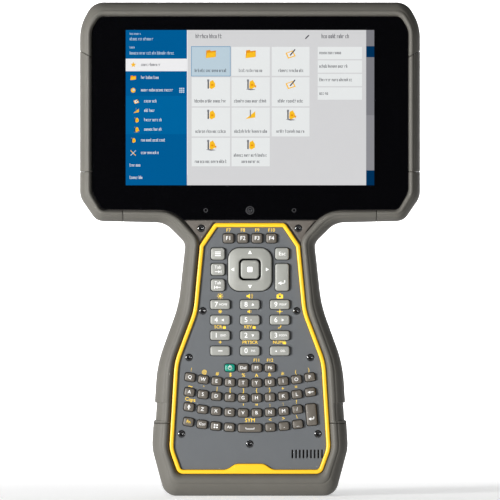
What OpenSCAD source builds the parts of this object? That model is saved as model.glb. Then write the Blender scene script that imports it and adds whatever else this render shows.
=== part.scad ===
// Rugged handheld data collector: a wide display head on a waisted grip with a keypad.
// The unit stands on its foot. +Z runs from the foot to the top edge, the display faces -Y,
// and the origin is the middle of the bounding box's bottom.

/* [Overall] */
// Width of the display head
head_w = 206.8; // [204:0.4:210]
// Height from the foot to the top edge
body_h = 300; // [298:0.5:304]
// Width of the grip at its widest
grip_w = 119.4; // [118:0.2:121]
// Depth from the bumper's crest to the back of the battery door
body_d = 50; // [50:0.5:54]
// Thickness of the moulded shell walls
wall = 3; // [2.4:0.2:3.4]

/* [Display] */
// Width of the display panel
panel_w = 157; // [154:1:159]
// Height of the display panel
panel_h = 100; // [98:0.5:101]
// Height of the display's centre above the foot
panel_z = 235.8; // [235:0.2:237]
// Thickness of the cover glass
glass_t = 1.8; // [1.2:0.1:2]

/* [Keypad] */
// How far a key moves when pressed
key_travel = 1; // [0.6:0.1:1.1]
// How far the keys stand above the keypad plate
key_rise = 2.2; // [1.8:0.1:2.4]
// Gap between a key and the edge of its hole
key_gap = 0.35; // [0.25:0.05:0.4]
// Spacing of the letter keys along the top letter row
letter_pitch = 8.08; // [8:0.02:8.12]
// Spacing of the letter rows
letter_row_gap = 9.1; // [8.9:0.1:9.2]
// Width of the coloured trim around the keypad plate
trim_w = 2.6; // [2.2:0.1:2.8]

/* [Battery and mounting] */
// Width of the battery door
door_w = 72; // [70:1:74]
// Height of the battery door
door_h = 78; // [77:0.5:79]
// Width of the pole mount's screw pattern
pattern_x = 38.1; // [30:0.1:40]
// Height of the pole mount's screw pattern
pattern_z = 30.2; // [26:0.1:31]
// Radius of the tapped bore in a pole mount insert
insert_bore_r = 1.65; // [1.5:0.05:1.7]
// Radius of the headset jack's bore
headset_r = 1.8; // [1.75:0.05:1.9]

/* [Hidden] */

$fn = 48;
arc_steps = 5;
rubber = [0.45, 0.44, 0.42];
shell = [0.30, 0.30, 0.30];
slate = [0.45, 0.47, 0.48];
light_key = [0.71, 0.72, 0.69];
dark_key = [0.36, 0.33, 0.30];

// Planes across the depth, front to back.
front_y = -body_d / 2;
back_y = body_d / 2;
glass_y = front_y + 2.2;
frame_y = glass_y + glass_t;
trim_y = front_y + 1.8;
plate_y = front_y + 3.4;
plate_back_y = plate_y + 2;
key_y = plate_y - key_rise;
skirt_y = plate_back_y + 0.2;
key_back_y = skirt_y + 0.6;
mat_y = plate_back_y + 2.1;
board_y = mat_y + 1;
board_back_y = board_y + 1.6;
frame_skin_y = frame_y + wall;
frame_back_y = front_y + 11;
gasket_t = 0.8;
rear_y = frame_back_y + gasket_t;
head_back_y = front_y + 34;
pad_y = head_back_y + 1.5;
lip_y = front_y + 4;

// Half outlines, [x, z, corner radius], from the foot up the right side to the top.
hw = head_w / 2;
gw = grip_w / 2;
outer_half = [
    [gw - 8.1, 0, 9], [gw, 29.3, 25], [gw - 3.2, 80, 75], [gw - 16.2, 115.8, 75],
    [39.3, 153.6, 7], [51.8, 166, 14], [hw - 10, 167, 8], [hw, 181.5, 12],
    [hw, body_h - 14.5, 28], [hw - 8, body_h, 11],
];
inner_half = [
    [gw - 15.9, 13.2, 5], [gw - 10.3, 28.6, 18], [gw - 13.5, 81.6, 40], [gw - 25, 112.2, 35],
    [30.7, 156.2, 9], [46.1, 173.3, 21], [hw - 13.4, 173.6, 5], [hw - 7.2, 184.5, 10],
    [hw - 7.2, body_h - 17, 12], [hw - 12.2, body_h - 8.6, 6],
];
trim_half = concat(
    [for (i = [0:3]) inner_half[i]],
    [[30.8, 152.3, 3], [21.5, 166.1, 3.5]]
);
// Front shell showing between the trim, the glass and the bumper.
shoulder_half = [[22.2, 166.5, 1], [30.9, 153.9, 0.5], [34.6, 161.5, 9], [39.4, 167.2, 0.4]];
glass_z = 167.5;
side_u = 0.45;
door_u = 0.42;

// Seams between the bumper pieces, half the gap left at each, and the notch beside the foot.
foot_seam_z = 44.3;
corner_seam_x = 77;
door_low_z = 197;
door_high_z = 270.4;
seam_slant = 4;
seam = 0.15;
notch_z = [45.6, 56.9];
notch_depth = 1.2;

// Keypad layout, [x, z, width, height, turn].
soft_keys = [for (i = [0:3]) [(i - 1.5) * 8.7, 156.5, 6.9, 6.1, 0]];
side_x = 19.5;
menu_key = [-side_x, 147.1, 8.8, 7.6, 0];
tab_forward_key = [-side_x, 137.6, 8.8, 7.6, 0];
tab_back_key = [-side_x, 128.1, 8.8, 7.6, 0];
escape_key = [side_x, 147.1, 8.8, 7.6, 0];
enter_key = [side_x, 132.9, 8.8, 17, 0];
dpad_z = 137.6;
dpad_key = [0, dpad_z, 27, 26.6, 0];
select_key = [0, dpad_z, 11.6, 11.6, 0];
function number_key(col, row) = [(col - 1) * 18.1, 116.3 - row * 9.37, 12.3, 6.1, 0];
edit_z = 77.9;
power_key = [-12.15, edit_z, 6.6, 4.9, 0];
edit_keys = [for (i = [0:2]) [-4.05 + i * 8.1, edit_z, 6.8, 5.3, 0]];
letter_z = 68.7;
arc_r = 188;
function letter_key(row, col, w = 6.6) =
    let (x = (col - 4.5) * (letter_pitch + 0.07 * row))
    [x, letter_z - row * letter_row_gap + x * x / (2 * arc_r), w, 5.4, x / 4];
row_q = [for (c = [0:9]) letter_key(0, c)];
row_a = [for (c = [0:9]) letter_key(1, c)];
row_z = [for (c = [0:8]) letter_key(2, c)];
row_fn = [for (c = [0, 1, 2, 3, 6, 7, 8]) letter_key(3, c)];
space_key = letter_key(3, 4.5, 14.8);
side_enter_key = [37.3, 49.5, 6.8, 13.6, 5];
all_keys = concat(
    soft_keys,
    [menu_key, tab_forward_key, tab_back_key, escape_key, enter_key, power_key],
    [for (row = [0:3]) for (col = [0:2]) number_key(col, row)],
    edit_keys, row_q, row_a, row_z, row_fn, [space_key, side_enter_key]
);

plate_screws = [[-28.5, 112.5], [28.5, 112.5], [-36.9, 84.2], [36.9, 84.2],
    [-41.4, 37.8], [41.4, 37.8], [0, 31.7]];
corner_screws = [[-29.5, 162.6], [29.5, 162.6]];
module_screws = [[-66, 212], [66, 212], [-66, 280], [66, 280]];
screw_head_r = 2.2;
screw_r = 1.2;
thread_r = 1.25;
camera_z = 173.5;
sensor_x = 26.8;
speaker_at = [33.5, 25.6];
speaker_w = 17;
speaker_h = 10;
grille_x = [for (i = [0:8]) 25.8 + i * 2.25];

// Battery bay and door.
door_z = 10;
door_y = back_y - 2.4;
door_hinge = [back_y - 1.8, door_z + door_h + 1.2];
barrel_r = 1.6;
pin_r = 0.7;
pin_gap = 0.35;
latch_z = 18;
latch_reach = 7.4;
grooves = 6;
groove_w = 44;
groove_z = 46;
bay_w = door_w - 5;
bay_z = [12, 86];
bay_y = front_y + 24.5;

// Port doors and the sockets behind them.
port_hinge_x = hw - 1.6;
port_hinge_y = front_y + 30.2;
port_knuckle_r = 1.3;
hinge_relief = 2;
port_y = front_y + 21;
port_z = [250, 232];
port_face_x = hw - 3.36;

// Rounded outlines from a list of [x, z, radius] corners.
function unit(v) = v / norm(v);
function xz(p) = [p[0], p[1]];
function fillet(p, a, b, n) =
    let (
        u = unit(xz(a) - xz(p)),
        v = unit(xz(b) - xz(p)),
        half = acos(u * v) / 2,
        reach = p[2] / tan(half),
        centre = xz(p) + unit(u + v) * p[2] / sin(half),
        from = xz(p) + u * reach - centre,
        to = xz(p) + v * reach - centre,
        start = atan2(from[1], from[0]),
        turn = atan2(to[1], to[0]) - start,
        sweep = turn > 180 ? turn - 360 : turn < -180 ? turn + 360 : turn
    )
    [for (i = [0:n]) centre + p[2] * [cos(start + sweep * i / n), sin(start + sweep * i / n)]];
function rounded(v, n = arc_steps) =
    [for (i = [0:len(v) - 1]) each fillet(v[i], v[(i + len(v) - 1) % len(v)], v[(i + 1) % len(v)], n)];
function both_sides(half) =
    concat(half, [for (i = [len(half) - 1:-1:0]) [-half[i][0], half[i][1], half[i][2]]]);
function left_of(d) = [-d[1], d[0]];
// Corners moved inwards by d, each keeping an arc about the same centre.
function inset(v, d) = [
    for (i = [0:len(v) - 1])
        let (
            before = unit(xz(v[i]) - xz(v[(i + len(v) - 1) % len(v)])),
            after = unit(xz(v[(i + 1) % len(v)]) - xz(v[i])),
            middle = unit(left_of(before) + left_of(after)),
            p = xz(v[i]) + middle * d / (middle * left_of(before)),
            bulges = cross(before, after) > 0
        )
        [p[0], p[1], bulges ? max(v[i][2] - d, 0.6) : v[i][2] + d]
];
function rectangle(w, h, r) =
    rounded([[w / 2, -h / 2, r], [w / 2, h / 2, r], [-w / 2, h / 2, r], [-w / 2, -h / 2, r]], 3);

outer_edge = rounded(both_sides(outer_half));
inner_edge = rounded(both_sides(inner_half));
// Outline a fraction u of the way across the bumper, from its outer edge to its inner edge.
function edge(u) = [for (i = [0:len(outer_edge) - 1]) outer_edge[i] * (1 - u) + inner_edge[i] * u];
shell_edge = edge(side_u);
shell_corners = both_sides(
    [for (i = [0:len(outer_half) - 1]) outer_half[i] * (1 - side_u) + inner_half[i] * side_u]);
trim_corners = inset(both_sides(trim_half), 0.3);
trim_edge = rounded(trim_corners);
bead_corners = inset(trim_corners, trim_w);
tab_low_z = bead_corners[0][1];
tab = [[-14, tab_low_z, 2], [-8.5, tab_low_z + 3.6, 2], [8.5, tab_low_z + 3.6, 2], [14, tab_low_z, 2]];
plate_edge = rounded(concat(bead_corners, tab));

// A slab of a 2D outline in X and Z, from depth y0 to depth y1.
module slab(y0, y1) {
    translate([0, y1, 0])
        rotate([90, 0, 0])
            linear_extrude(y1 - y0)
                children();
}

// A straight run along X of a 2D outline in Y and Z.
module run_x(x0, x1) {
    translate([x0, 0, 0])
        rotate([90, 0, 90])
            linear_extrude(x1 - x0)
                children();
}

module block(x, y, z) {
    translate([x[0], y[0], z[0]])
        cube([x[1] - x[0], y[1] - y[0], z[1] - z[0]]);
}

// A round post along Y at [x, z].
module post(at, r, y0, y1) {
    translate([at[0], y1, at[1]])
        rotate([90, 0, 0])
            cylinder(h = y1 - y0, r = r);
}

module key_slab(key, y0, y1, grow = 0, r = 1.1) {
    slab(y0, y1)
        translate([key[0], key[1]])
            rotate(key[4])
                polygon(rectangle(key[2] + 2 * grow, key[3] + 2 * grow, r + grow));
}

// Bumper section, [share of the width, depth], going round the section.
function crest_points() = [
    [0, front_y + 9], [0.05, front_y + 6.6], [0.18, front_y + 3.9], [0.5, front_y + 1],
    [0.66, front_y + 0.1], [0.76, front_y], [0.9, front_y + 0.9], [1, front_y + 3.4], [1, lip_y],
];
function foot_back(z) = back_y - 4 - 10 * min(1, z / 24);
function grip_section(z) = concat(
    crest_points(), [[side_u, lip_y], [side_u, head_back_y], [0.15, head_back_y - 1.5],
    [0, head_back_y - 4]]);
function foot_section(z) = concat(
    crest_points(), [[side_u, lip_y], [side_u, foot_back(z) + 4], [0.15, foot_back(z) + 2.5],
    [0, foot_back(z)]]);
function door_section() = concat(
    crest_points(), [[door_u, lip_y], [door_u, port_hinge_y - 0.2], [0, port_hinge_y - 0.2]]);

corner_points = arc_steps + 1;
function arc_start(corner) = corner * corner_points;
function arc_end(corner) = corner * corner_points + arc_steps;
function on_line(a, b, axis, value) = a + (b - a) * (value - a[axis]) / (b[axis] - a[axis]);
// Outer and inner point where a cut crosses the straight run that follows a corner.
function cut_at(corner, axis, outer_value, inner_value) = [
    on_line(outer_edge[arc_end(corner)], outer_edge[arc_start(corner + 1)], axis, outer_value),
    on_line(inner_edge[arc_end(corner)], inner_edge[arc_start(corner + 1)], axis, inner_value),
];
function arcs(first, last) =
    [for (i = [arc_start(first):arc_end(last)]) [outer_edge[i], inner_edge[i]]];
function step_in(pair, d) = [pair[0], pair[1], d];
function flipped(pairs) =
    [for (i = [len(pairs) - 1:-1:0]) [for (p = pairs[i]) [-p[0], p[1]]]];

// Sweep a section along pairs of outer and inner points. A pair's third value is the depth of a
// notch, which fades out at the share of the width where the housings start.
module bumper_sweep(pairs, foot = false) {
    m = len(grip_section(0));
    count = len(pairs);
    points = [
        for (pair = pairs)
            for (q = foot ? foot_section(pair[0][1]) : grip_section(pair[0][1]))
                let (
                    p = pair[0] * (1 - q[0]) + pair[1] * q[0],
                    notch = len(pair) > 2 ? pair[2] * max(0, 1 - q[0] / side_u) : 0
                )
                [p[0] - notch, q[1], p[1]]
    ];
    sides = [
        for (i = [0:count - 2])
            for (j = [0:m - 1])
                let (a = i * m + j, b = i * m + (j + 1) % m)
                each [[a, a + m, b], [b, a + m, b + m]]
    ];
    start_cap = [for (j = [0:m - 1]) j];
    end_cap = [for (j = [m - 1:-1:0]) (count - 1) * m + j];
    polyhedron(points, concat(sides, [start_cap, end_cap]), convexity = 8);
}

far = 400;

module bumper_top() {
    half = concat(
        [cut_at(7, 1, door_high_z + seam, door_high_z - seam_slant + seam)],
        arcs(8, 9)
    );
    color(rubber)
        difference() {
            bumper_sweep(concat(half, flipped(half)));
            for (side = [-1, 1])
                translate([side * port_hinge_x, port_hinge_y, door_high_z - 3])
                    cylinder(h = 7, r = pin_r + pin_gap);
        }
}

module bumper_corner() {
    color(rubber)
        difference() {
            bumper_sweep(concat(
                [cut_at(5, 0, corner_seam_x + seam, corner_seam_x + seam)],
                arcs(6, 7),
                [cut_at(7, 1, door_low_z - seam, door_low_z - seam)]
            ));
            translate([port_hinge_x, port_hinge_y, door_low_z - 4])
                cylinder(h = 7, r = pin_r + pin_gap);
        }
}

module bumper_neck() {
    color(rubber)
        bumper_sweep(concat(
            [
                cut_at(1, 1, foot_seam_z + seam, foot_seam_z + seam),
                cut_at(1, 1, notch_z[0], notch_z[0]),
                step_in(cut_at(1, 1, notch_z[0] + 0.6, notch_z[0] + 0.6), notch_depth),
                step_in(cut_at(1, 1, notch_z[1] - 0.6, notch_z[1] - 0.6), notch_depth),
                cut_at(1, 1, notch_z[1], notch_z[1])
            ],
            arcs(2, 5),
            [cut_at(5, 0, corner_seam_x - seam, corner_seam_x - seam)]
        ));
}

module bumper_corner_left() {
    mirror([1, 0, 0])
        bumper_corner();
}

module bumper_corner_right() {
    bumper_corner();
}

module bumper_neck_left() {
    mirror([1, 0, 0])
        bumper_neck();
}

module bumper_neck_right() {
    bumper_neck();
}

module bumper_bottom() {
    half = concat(arcs(0, 1), [cut_at(1, 1, foot_seam_z - seam, foot_seam_z - seam)]);
    color(rubber)
        bumper_sweep(concat(flipped(half), half), true);
}

// Rear shell: the outline, its side profile and its plan profile meet in one solid.
module rear_solid(edge_points, y0, side_profile, plan_half) {
    intersection() {
        slab(y0, back_y)
            polygon(edge_points);
        run_x(-far, far)
            polygon(side_profile);
        linear_extrude(far)
            polygon(concat(plan_half, [for (i = [len(plan_half) - 1:-1:0]) [-plan_half[i][0], plan_half[i][1]]]));
    }
}

module rear_skin() {
    rear_solid(
        shell_edge, rear_y,
        [[rear_y, 0], [back_y, 0], [back_y, 93], [front_y + 37, 158], [head_back_y, 171],
            [head_back_y, far], [rear_y, far]],
        [[hw, rear_y], [hw, front_y + 37], [gw - 2.7, front_y + 37], [gw - 12.7, back_y]]
    );
}

module rear_hollow() {
    rear_solid(
        rounded(inset(shell_corners, wall)), rear_y - 1,
        [[rear_y - 1, 0], [back_y - wall, 0], [back_y - wall, 92], [front_y + 34.2, 157],
            [head_back_y - wall, 170], [head_back_y - wall, far], [rear_y - 1, far]],
        [[hw, rear_y - 1], [hw, front_y + 36], [gw - 6.1, front_y + 36], [gw - 14.6, back_y - wall]]
    );
}

module port_holes(r_gap) {
    for (side = [-1, 1])
        for (z = port_z)
            translate([side * (hw - 16), port_y, z])
                rotate([0, side * 90, 0])
                    cylinder(h = 16, r = (side < 0 ? 6 : 5) + r_gap);
}

module rear_housing() {
    boss_r = 3.5;
    color(shell)
        difference() {
            union() {
                difference() {
                    rear_skin();
                    rear_hollow();
                }
                block([-door_w / 2, door_w / 2], [bay_y - 2.5, back_y - 1], [bay_z[0] - 3, bay_z[1] + 2.5]);
                block([-door_w / 2 - 5, door_w / 2 + 5], [back_y - 7, back_y - 1], [bay_z[1] - 2, bay_z[1] + 9]);
                block([-64, 64], [head_back_y - 7, head_back_y - 1], [211.5, 280.5]);
                block([-28, 28], [head_back_y - 2, pad_y], [155.5, 200.5]);
                for (at = corner_screws)
                    post(at, boss_r, frame_skin_y, head_back_y - 2);
                for (i = [0:5])
                    intersection() {
                        post(plate_screws[i], boss_r, board_back_y + 0.2, back_y);
                        union() {
                            rear_skin();
                            slab(board_back_y + 0.2, rear_y)
                                polygon(rounded(inset(shell_corners, 5)));
                        }
                    }
                post(plate_screws[6], boss_r, board_back_y + 0.2, bay_y - 1);
                for (at = module_screws)
                    post(at, boss_r, head_back_y - 8, head_back_y - 1);
                for (sx = [-1, 1])
                    for (sz = [-1, 1])
                        post([sx * pattern_x / 2, 178 + sz * pattern_z / 2], 5, head_back_y - 9, head_back_y - 1);
            }
            block([-bay_w / 2, bay_w / 2], [bay_y, far], bay_z);
            block([-door_w / 2 - 0.4, door_w / 2 + 0.4], [door_y, far], [door_z - 0.4, door_z + door_h + 0.4]);
            block([-door_w / 2 - 0.4, door_w / 2 + 0.4], [door_hinge[0] - 2.6, far],
                [door_hinge[1] - 3, door_hinge[1] + 2.8]);
            translate([-door_w / 2 - 3, door_hinge[0], door_hinge[1]])
                rotate([0, 90, 0])
                    cylinder(h = door_w + 6, r = pin_r + pin_gap);
            block([-9, 9], [door_y - 3, door_y + 0.1], [bay_z[0] - 2.4, bay_z[0] + 1]);
            block([-61.5, 61.5], [head_back_y - 5.5, far], [214, 278]);
            for (at = corner_screws)
                post(at, thread_r, frame_skin_y - 1, front_y + 19);
            for (at = plate_screws)
                post(at, thread_r, board_back_y - 1, front_y + 19.5);
            for (at = module_screws)
                post(at, thread_r, head_back_y - 6.5, head_back_y + 1);
            for (sx = [-1, 1])
                for (sz = [-1, 1])
                    post([sx * pattern_x / 2, 178 + sz * pattern_z / 2], 3.2, head_back_y - 7.5, pad_y + 1);
            port_holes(0.2);
            post([84, 262], 7.2, front_y + 20, head_back_y + 1);
            post([84, 245], 2.7, front_y + 20, head_back_y + 1);
        }
}

module front_housing() {
    color([0.42, 0.38, 0.34])
        difference() {
            union() {
                slab(frame_y, frame_back_y)
                    polygon(shell_edge);
                slab(glass_y + 0.3, frame_y + 0.5)
                    polygon(rounded(both_sides(shoulder_half), 3));
            }
            slab(frame_skin_y, far)
                polygon(rounded(inset(shell_corners, wall)));
            block([-panel_w / 2 - 0.5, panel_w / 2 + 0.5], [-far, far],
                [panel_z - panel_h / 2 - 0.5, panel_z + panel_h / 2 + 0.5]);
            slab(frame_y - 1, plate_back_y)
                polygon(trim_edge);
            slab(frame_y - 1, far)
                polygon(rounded(inset(bead_corners, 3)));
            for (at = corner_screws) {
                post(at, screw_r + 0.25, -far, far);
                post(at, screw_head_r + 0.15, -far, glass_y + 1.6);
            }
            for (at = plate_screws)
                post(at, screw_r + 0.25, -far, far);
            slab(plate_back_y - 1, far)
                translate(speaker_at)
                    polygon(rectangle(speaker_w + 0.4, speaker_h + 0.4, 3.2));
            post([0, camera_z], 3.2, -far, far);
            for (side = [-1, 1])
                post([side * sensor_x, camera_z], 1.7, -far, far);
        }
}

module housing_gasket() {
    color([0.1, 0.1, 0.1])
        slab(frame_back_y, rear_y)
            difference() {
                polygon(rounded(inset(shell_corners, 0.5)));
                polygon(rounded(inset(shell_corners, 2.5)));
            }
}

module cover_glass() {
    color([0.02, 0.02, 0.03])
        slab(glass_y, frame_y)
            intersection() {
                polygon(edge(1.03));
                translate([-far, glass_z])
                    square([2 * far, far]);
            }
}

module display_panel() {
    color([0.1, 0.35, 0.6])
        block([-panel_w / 2, panel_w / 2], [frame_y, frame_y + 4.5],
            [panel_z - panel_h / 2, panel_z + panel_h / 2]);
}

module keypad_trim() {
    color([1, 0.83, 0.15])
        slab(trim_y, plate_back_y)
            difference() {
                polygon(trim_edge);
                polygon(plate_edge);
            }
}

module keypad_plate() {
    color(slate)
        difference() {
            slab(plate_y, plate_back_y)
                polygon(plate_edge);
            for (key = all_keys)
                key_slab(key, plate_y - 1, plate_back_y + 1, key_gap);
            key_slab(dpad_key, plate_y - 1, plate_back_y + 1, 0.5, 7);
            for (x = grille_x)
                block([x - 0.5, x + 0.5], [plate_y - 1, plate_back_y + 1], [23, 28.2]);
            for (at = plate_screws) {
                post(at, screw_r + 0.25, plate_y - 1, plate_back_y + 1);
                post(at, screw_head_r + 0.15, plate_y - 1, plate_y + 1.2);
            }
        }
}

// Rubber mat and switch board share one outline, cut off above the speaker.
module keypad_layer(y0, y1) {
    difference() {
        slab(y0, y1)
            intersection() {
                polygon(rounded(inset(bead_corners, 4)));
                translate([-far, 34.5])
                    square([2 * far, far]);
            }
        for (at = plate_screws)
            post(at, screw_r + 0.5, y0 - 1, y1 + 1);
    }
}

module keypad_mat() {
    color([0.75, 0.75, 0.72])
        keypad_layer(mat_y, board_y);
}

module keypad_board() {
    color([0.1, 0.4, 0.2])
        keypad_layer(board_y, board_back_y);
}

module main_board() {
    y = front_y + 17;
    color([0.1, 0.4, 0.2]) {
        block([-84, 84], [y, y + 1.6], [187, 284]);
        block([-20, 20], [y - 2.5, y], [222, 256]);
        block([30, 62], [y - 2, y], [236, 262]);
        block([-68, -36], [y - 2, y], [200, 232]);
    }
}

module battery_packs() {
    color([0.15, 0.15, 0.16])
        for (side = [-1, 1])
            block([side * 16.6 - 16, side * 16.6 + 16], [bay_y + 0.3, door_y - 3], [24, 85]);
}

module speaker() {
    color([0.12, 0.12, 0.12])
        slab(plate_back_y, plate_back_y + 4.5)
            translate(speaker_at)
                polygon(rectangle(speaker_w, speaker_h, 3));
}

module front_camera() {
    color([0.05, 0.05, 0.06]) {
        post([0, camera_z], 3, frame_y, frame_skin_y);
        block([-4.5, 4.5], [frame_skin_y, frame_skin_y + 2], [camera_z - 4.5, camera_z + 4.5]);
        for (side = [-1, 1])
            post([side * sensor_x, camera_z], 1.5, frame_y, frame_y + 2);
    }
}

module rear_camera() {
    color([0.06, 0.06, 0.07]) {
        post([84, 262], 7, front_y + 26, head_back_y);
        post([84, 262], 8.6, head_back_y, head_back_y + 1.2);
        post([84, 245], 2.5, front_y + 30, head_back_y + 0.3);
    }
}

module module_cover() {
    color(shell)
        difference() {
            slab(head_back_y, head_back_y + 2)
                translate([0, 246])
                    polygon(rectangle(144, 78, 6));
            for (at = module_screws) {
                post(at, screw_r + 0.25, head_back_y - 1, head_back_y + 3);
                post(at, screw_head_r + 0.15, head_back_y + 0.7, head_back_y + 3);
            }
        }
}

// Screw whose head faces -Y, with its top at depth y.
module screw(at, y) {
    post(at, screw_head_r, y, y + 1.3);
    post(at, screw_r, y + 1.3, y + 15);
}

module housing_screws() {
    color([0.08, 0.08, 0.09]) {
        for (at = plate_screws)
            screw(at, plate_y - 0.1);
        for (at = corner_screws)
            screw(at, glass_y + 0.3);
        for (at = module_screws) {
            post(at, screw_head_r, head_back_y + 0.7, head_back_y + 2);
            post(at, screw_r, head_back_y - 6, head_back_y + 0.7);
        }
    }
}

module mount_inserts() {
    color([0.78, 0.62, 0.3])
        for (sx = [-1, 1])
            for (sz = [-1, 1])
                difference() {
                    at = [sx * pattern_x / 2, 178 + sz * pattern_z / 2];
                    post(at, 3.2, head_back_y - 7.5, pad_y);
                    post(at, insert_bore_r, head_back_y - 6.5, pad_y + 1);
                }
}

// Sockets: two USB type C on the left, a headset jack and a power jack on the right.
module side_ports() {
    color([0.12, 0.12, 0.13]) {
        for (z = port_z)
            difference() {
                translate([-port_face_x, port_y, z])
                    rotate([0, 90, 0])
                        cylinder(h = 12, r = 6);
                block([-far, -port_face_x + 8], [port_y - 1.65, port_y + 1.65], [z - 4.5, z + 4.5]);
            }
        for (i = [0, 1])
            difference() {
                translate([port_face_x - 15, port_y, port_z[i]])
                    rotate([0, 90, 0])
                        cylinder(h = 15, r = 5);
                translate([port_face_x - (i == 0 ? 14 : 9), port_y, port_z[i]])
                    rotate([0, 90, 0])
                        cylinder(h = 20, r = i == 0 ? headset_r : 2.85);
            }
        translate([port_face_x - 10, port_y, port_z[1]])
            rotate([0, 90, 0])
                cylinder(h = 9, r = 1.05);
    }
}

module port_door() {
    inner_x = inner_half[7][0];
    color(rubber) {
        difference() {
            translate([0, 0, door_low_z + seam])
                linear_extrude(door_high_z - door_low_z - 2 * seam)
                    polygon([for (q = door_section()) [hw - (hw - inner_x) * q[0], q[1]]]);
            slab(-far, far)
                polygon([[2 * inner_x - hw, door_high_z - 2 * seam_slant - seam], [hw, door_high_z - seam],
                    [hw, far], [2 * inner_x - hw, far]]);
            block([port_hinge_x - 1, far], [port_hinge_y - hinge_relief, far],
                [door_high_z - hinge_relief, far]);
        }
        translate([port_hinge_x, port_hinge_y, door_low_z + 2])
            cylinder(h = door_high_z - door_low_z - 5, r = port_knuckle_r);
        translate([port_hinge_x, port_hinge_y, door_low_z - 2.5])
            cylinder(h = door_high_z - door_low_z + 5, r = pin_r);
    }
}

module port_door_right() {
    port_door();
}

module port_door_left() {
    mirror([1, 0, 0])
        port_door();
}

module battery_door() {
    color(shell)
        difference() {
            union() {
                block([-door_w / 2, door_w / 2], [door_y, back_y], [door_z, door_z + door_h]);
                translate([-door_w / 2, door_hinge[0], door_hinge[1]])
                    rotate([0, 90, 0])
                        cylinder(h = door_w, r = barrel_r);
                translate([-door_w / 2 - 2.5, door_hinge[0], door_hinge[1]])
                    rotate([0, 90, 0])
                        cylinder(h = door_w + 5, r = pin_r);
            }
            for (i = [0:grooves - 1])
                block([-groove_w / 2, groove_w / 2], [back_y - 0.6, far],
                    [groove_z + i * 3.6 - 0.7, groove_z + i * 3.6 + 0.7]);
            post([0, latch_z], 6.6, back_y - 1.2, back_y + 1);
            post([0, latch_z], 2.35, door_y - 1, back_y);
        }
}

module battery_latch() {
    color([0.5, 0.5, 0.5]) {
        difference() {
            post([0, latch_z], 6, back_y - 1.1, back_y);
            block([-4.5, 4.5], [back_y - 0.6, back_y + 1], [latch_z - 0.7, latch_z + 0.7]);
        }
        post([0, latch_z], 2, door_y - 0.4, back_y - 1.1);
        block([-2.2, 2.2], [door_y - 2.4, door_y - 0.4], [latch_z - latch_reach, latch_z + 2.2]);
    }
}

module dpad_pivot() {
    color([0.6, 0.6, 0.58])
        slab(plate_back_y + 0.4, plate_back_y + 1.4)
            translate([0, dpad_z])
                difference() {
                    polygon(rectangle(17, 17, 2));
                    polygon(rectangle(13.2, 13.2, 2));
                }
}

module dpad_ring() {
    color(light_key)
        slab(front_y + 0.8, plate_back_y - 0.3)
            translate([0, dpad_z])
                difference() {
                    polygon(rectangle(dpad_key[2], dpad_key[3], 7));
                    polygon(rectangle(13.2, 13.2, 2.9));
                }
}

module key_select() {
    color(light_key)
        key_slab(select_key, front_y + 1.1, key_back_y, 0, 2.4);
}

// A key cap with the skirt that keeps it behind the plate.
module keycap(key) {
    key_slab(key, key_y, skirt_y);
    key_slab(key, skirt_y, key_back_y, 0.5);
}

module light_keycap(key) {
    color(light_key)
        keycap(key);
}

module dark_keycaps(keys) {
    color(dark_key)
        for (key = keys)
            keycap(key);
}

module key_f1() { dark_keycaps([soft_keys[0]]); }
module key_f2() { dark_keycaps([soft_keys[1]]); }
module key_f3() { dark_keycaps([soft_keys[2]]); }
module key_f4() { dark_keycaps([soft_keys[3]]); }
module key_menu() { light_keycap(menu_key); }
module key_tab_forward() { light_keycap(tab_forward_key); }
module key_tab_back() { light_keycap(tab_back_key); }
module key_escape() { light_keycap(escape_key); }
module key_enter() { light_keycap(enter_key); }
module key_7() { light_keycap(number_key(0, 0)); }
module key_8() { light_keycap(number_key(1, 0)); }
module key_9() { light_keycap(number_key(2, 0)); }
module key_4() { light_keycap(number_key(0, 1)); }
module key_5() { light_keycap(number_key(1, 1)); }
module key_6() { light_keycap(number_key(2, 1)); }
module key_1() { light_keycap(number_key(0, 2)); }
module key_2() { light_keycap(number_key(1, 2)); }
module key_3() { light_keycap(number_key(2, 2)); }
module key_minus() { light_keycap(number_key(0, 3)); }
module key_0() { light_keycap(number_key(1, 3)); }
module key_point() { light_keycap(number_key(2, 3)); }
module key_power() { color([0, 0.62, 0.52]) keycap(power_key); }
module keys_delete_f5_f6() { dark_keycaps(edit_keys); }
module keys_row_q() { dark_keycaps(row_q); }
module keys_row_a() { dark_keycaps(row_a); }
module keys_row_z() { dark_keycaps(row_z); }
module keys_row_fn() { dark_keycaps(row_fn); }
module key_space() { dark_keycaps([space_key]); }
module key_side_enter() { dark_keycaps([side_enter_key]); }

rear_housing();
front_housing();
housing_gasket();
cover_glass();
display_panel();
bumper_top();
bumper_corner_left();
bumper_corner_right();
bumper_neck_left();
bumper_neck_right();
bumper_bottom();
keypad_trim();
keypad_plate();
keypad_mat();
keypad_board();
main_board();
battery_packs();
speaker();
front_camera();
rear_camera();
module_cover();
housing_screws();
mount_inserts();
side_ports();
port_door_left();
port_door_right();
battery_door();
battery_latch();
dpad_pivot();
dpad_ring();
key_select();
key_f1();
key_f2();
key_f3();
key_f4();
key_menu();
key_tab_forward();
key_tab_back();
key_escape();
key_enter();
key_7();
key_8();
key_9();
key_4();
key_5();
key_6();
key_1();
key_2();
key_3();
key_minus();
key_0();
key_point();
key_power();
keys_delete_f5_f6();
keys_row_q();
keys_row_a();
keys_row_z();
keys_row_fn();
key_space();
key_side_enter();
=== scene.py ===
"""Looks of the data collector: bumpers, keypad, display and rear shell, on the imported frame.

Lengths are in millimetres until a mesh is made. +X is right, +Z is up and the display faces -Y.
"""

import math
import random

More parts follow.
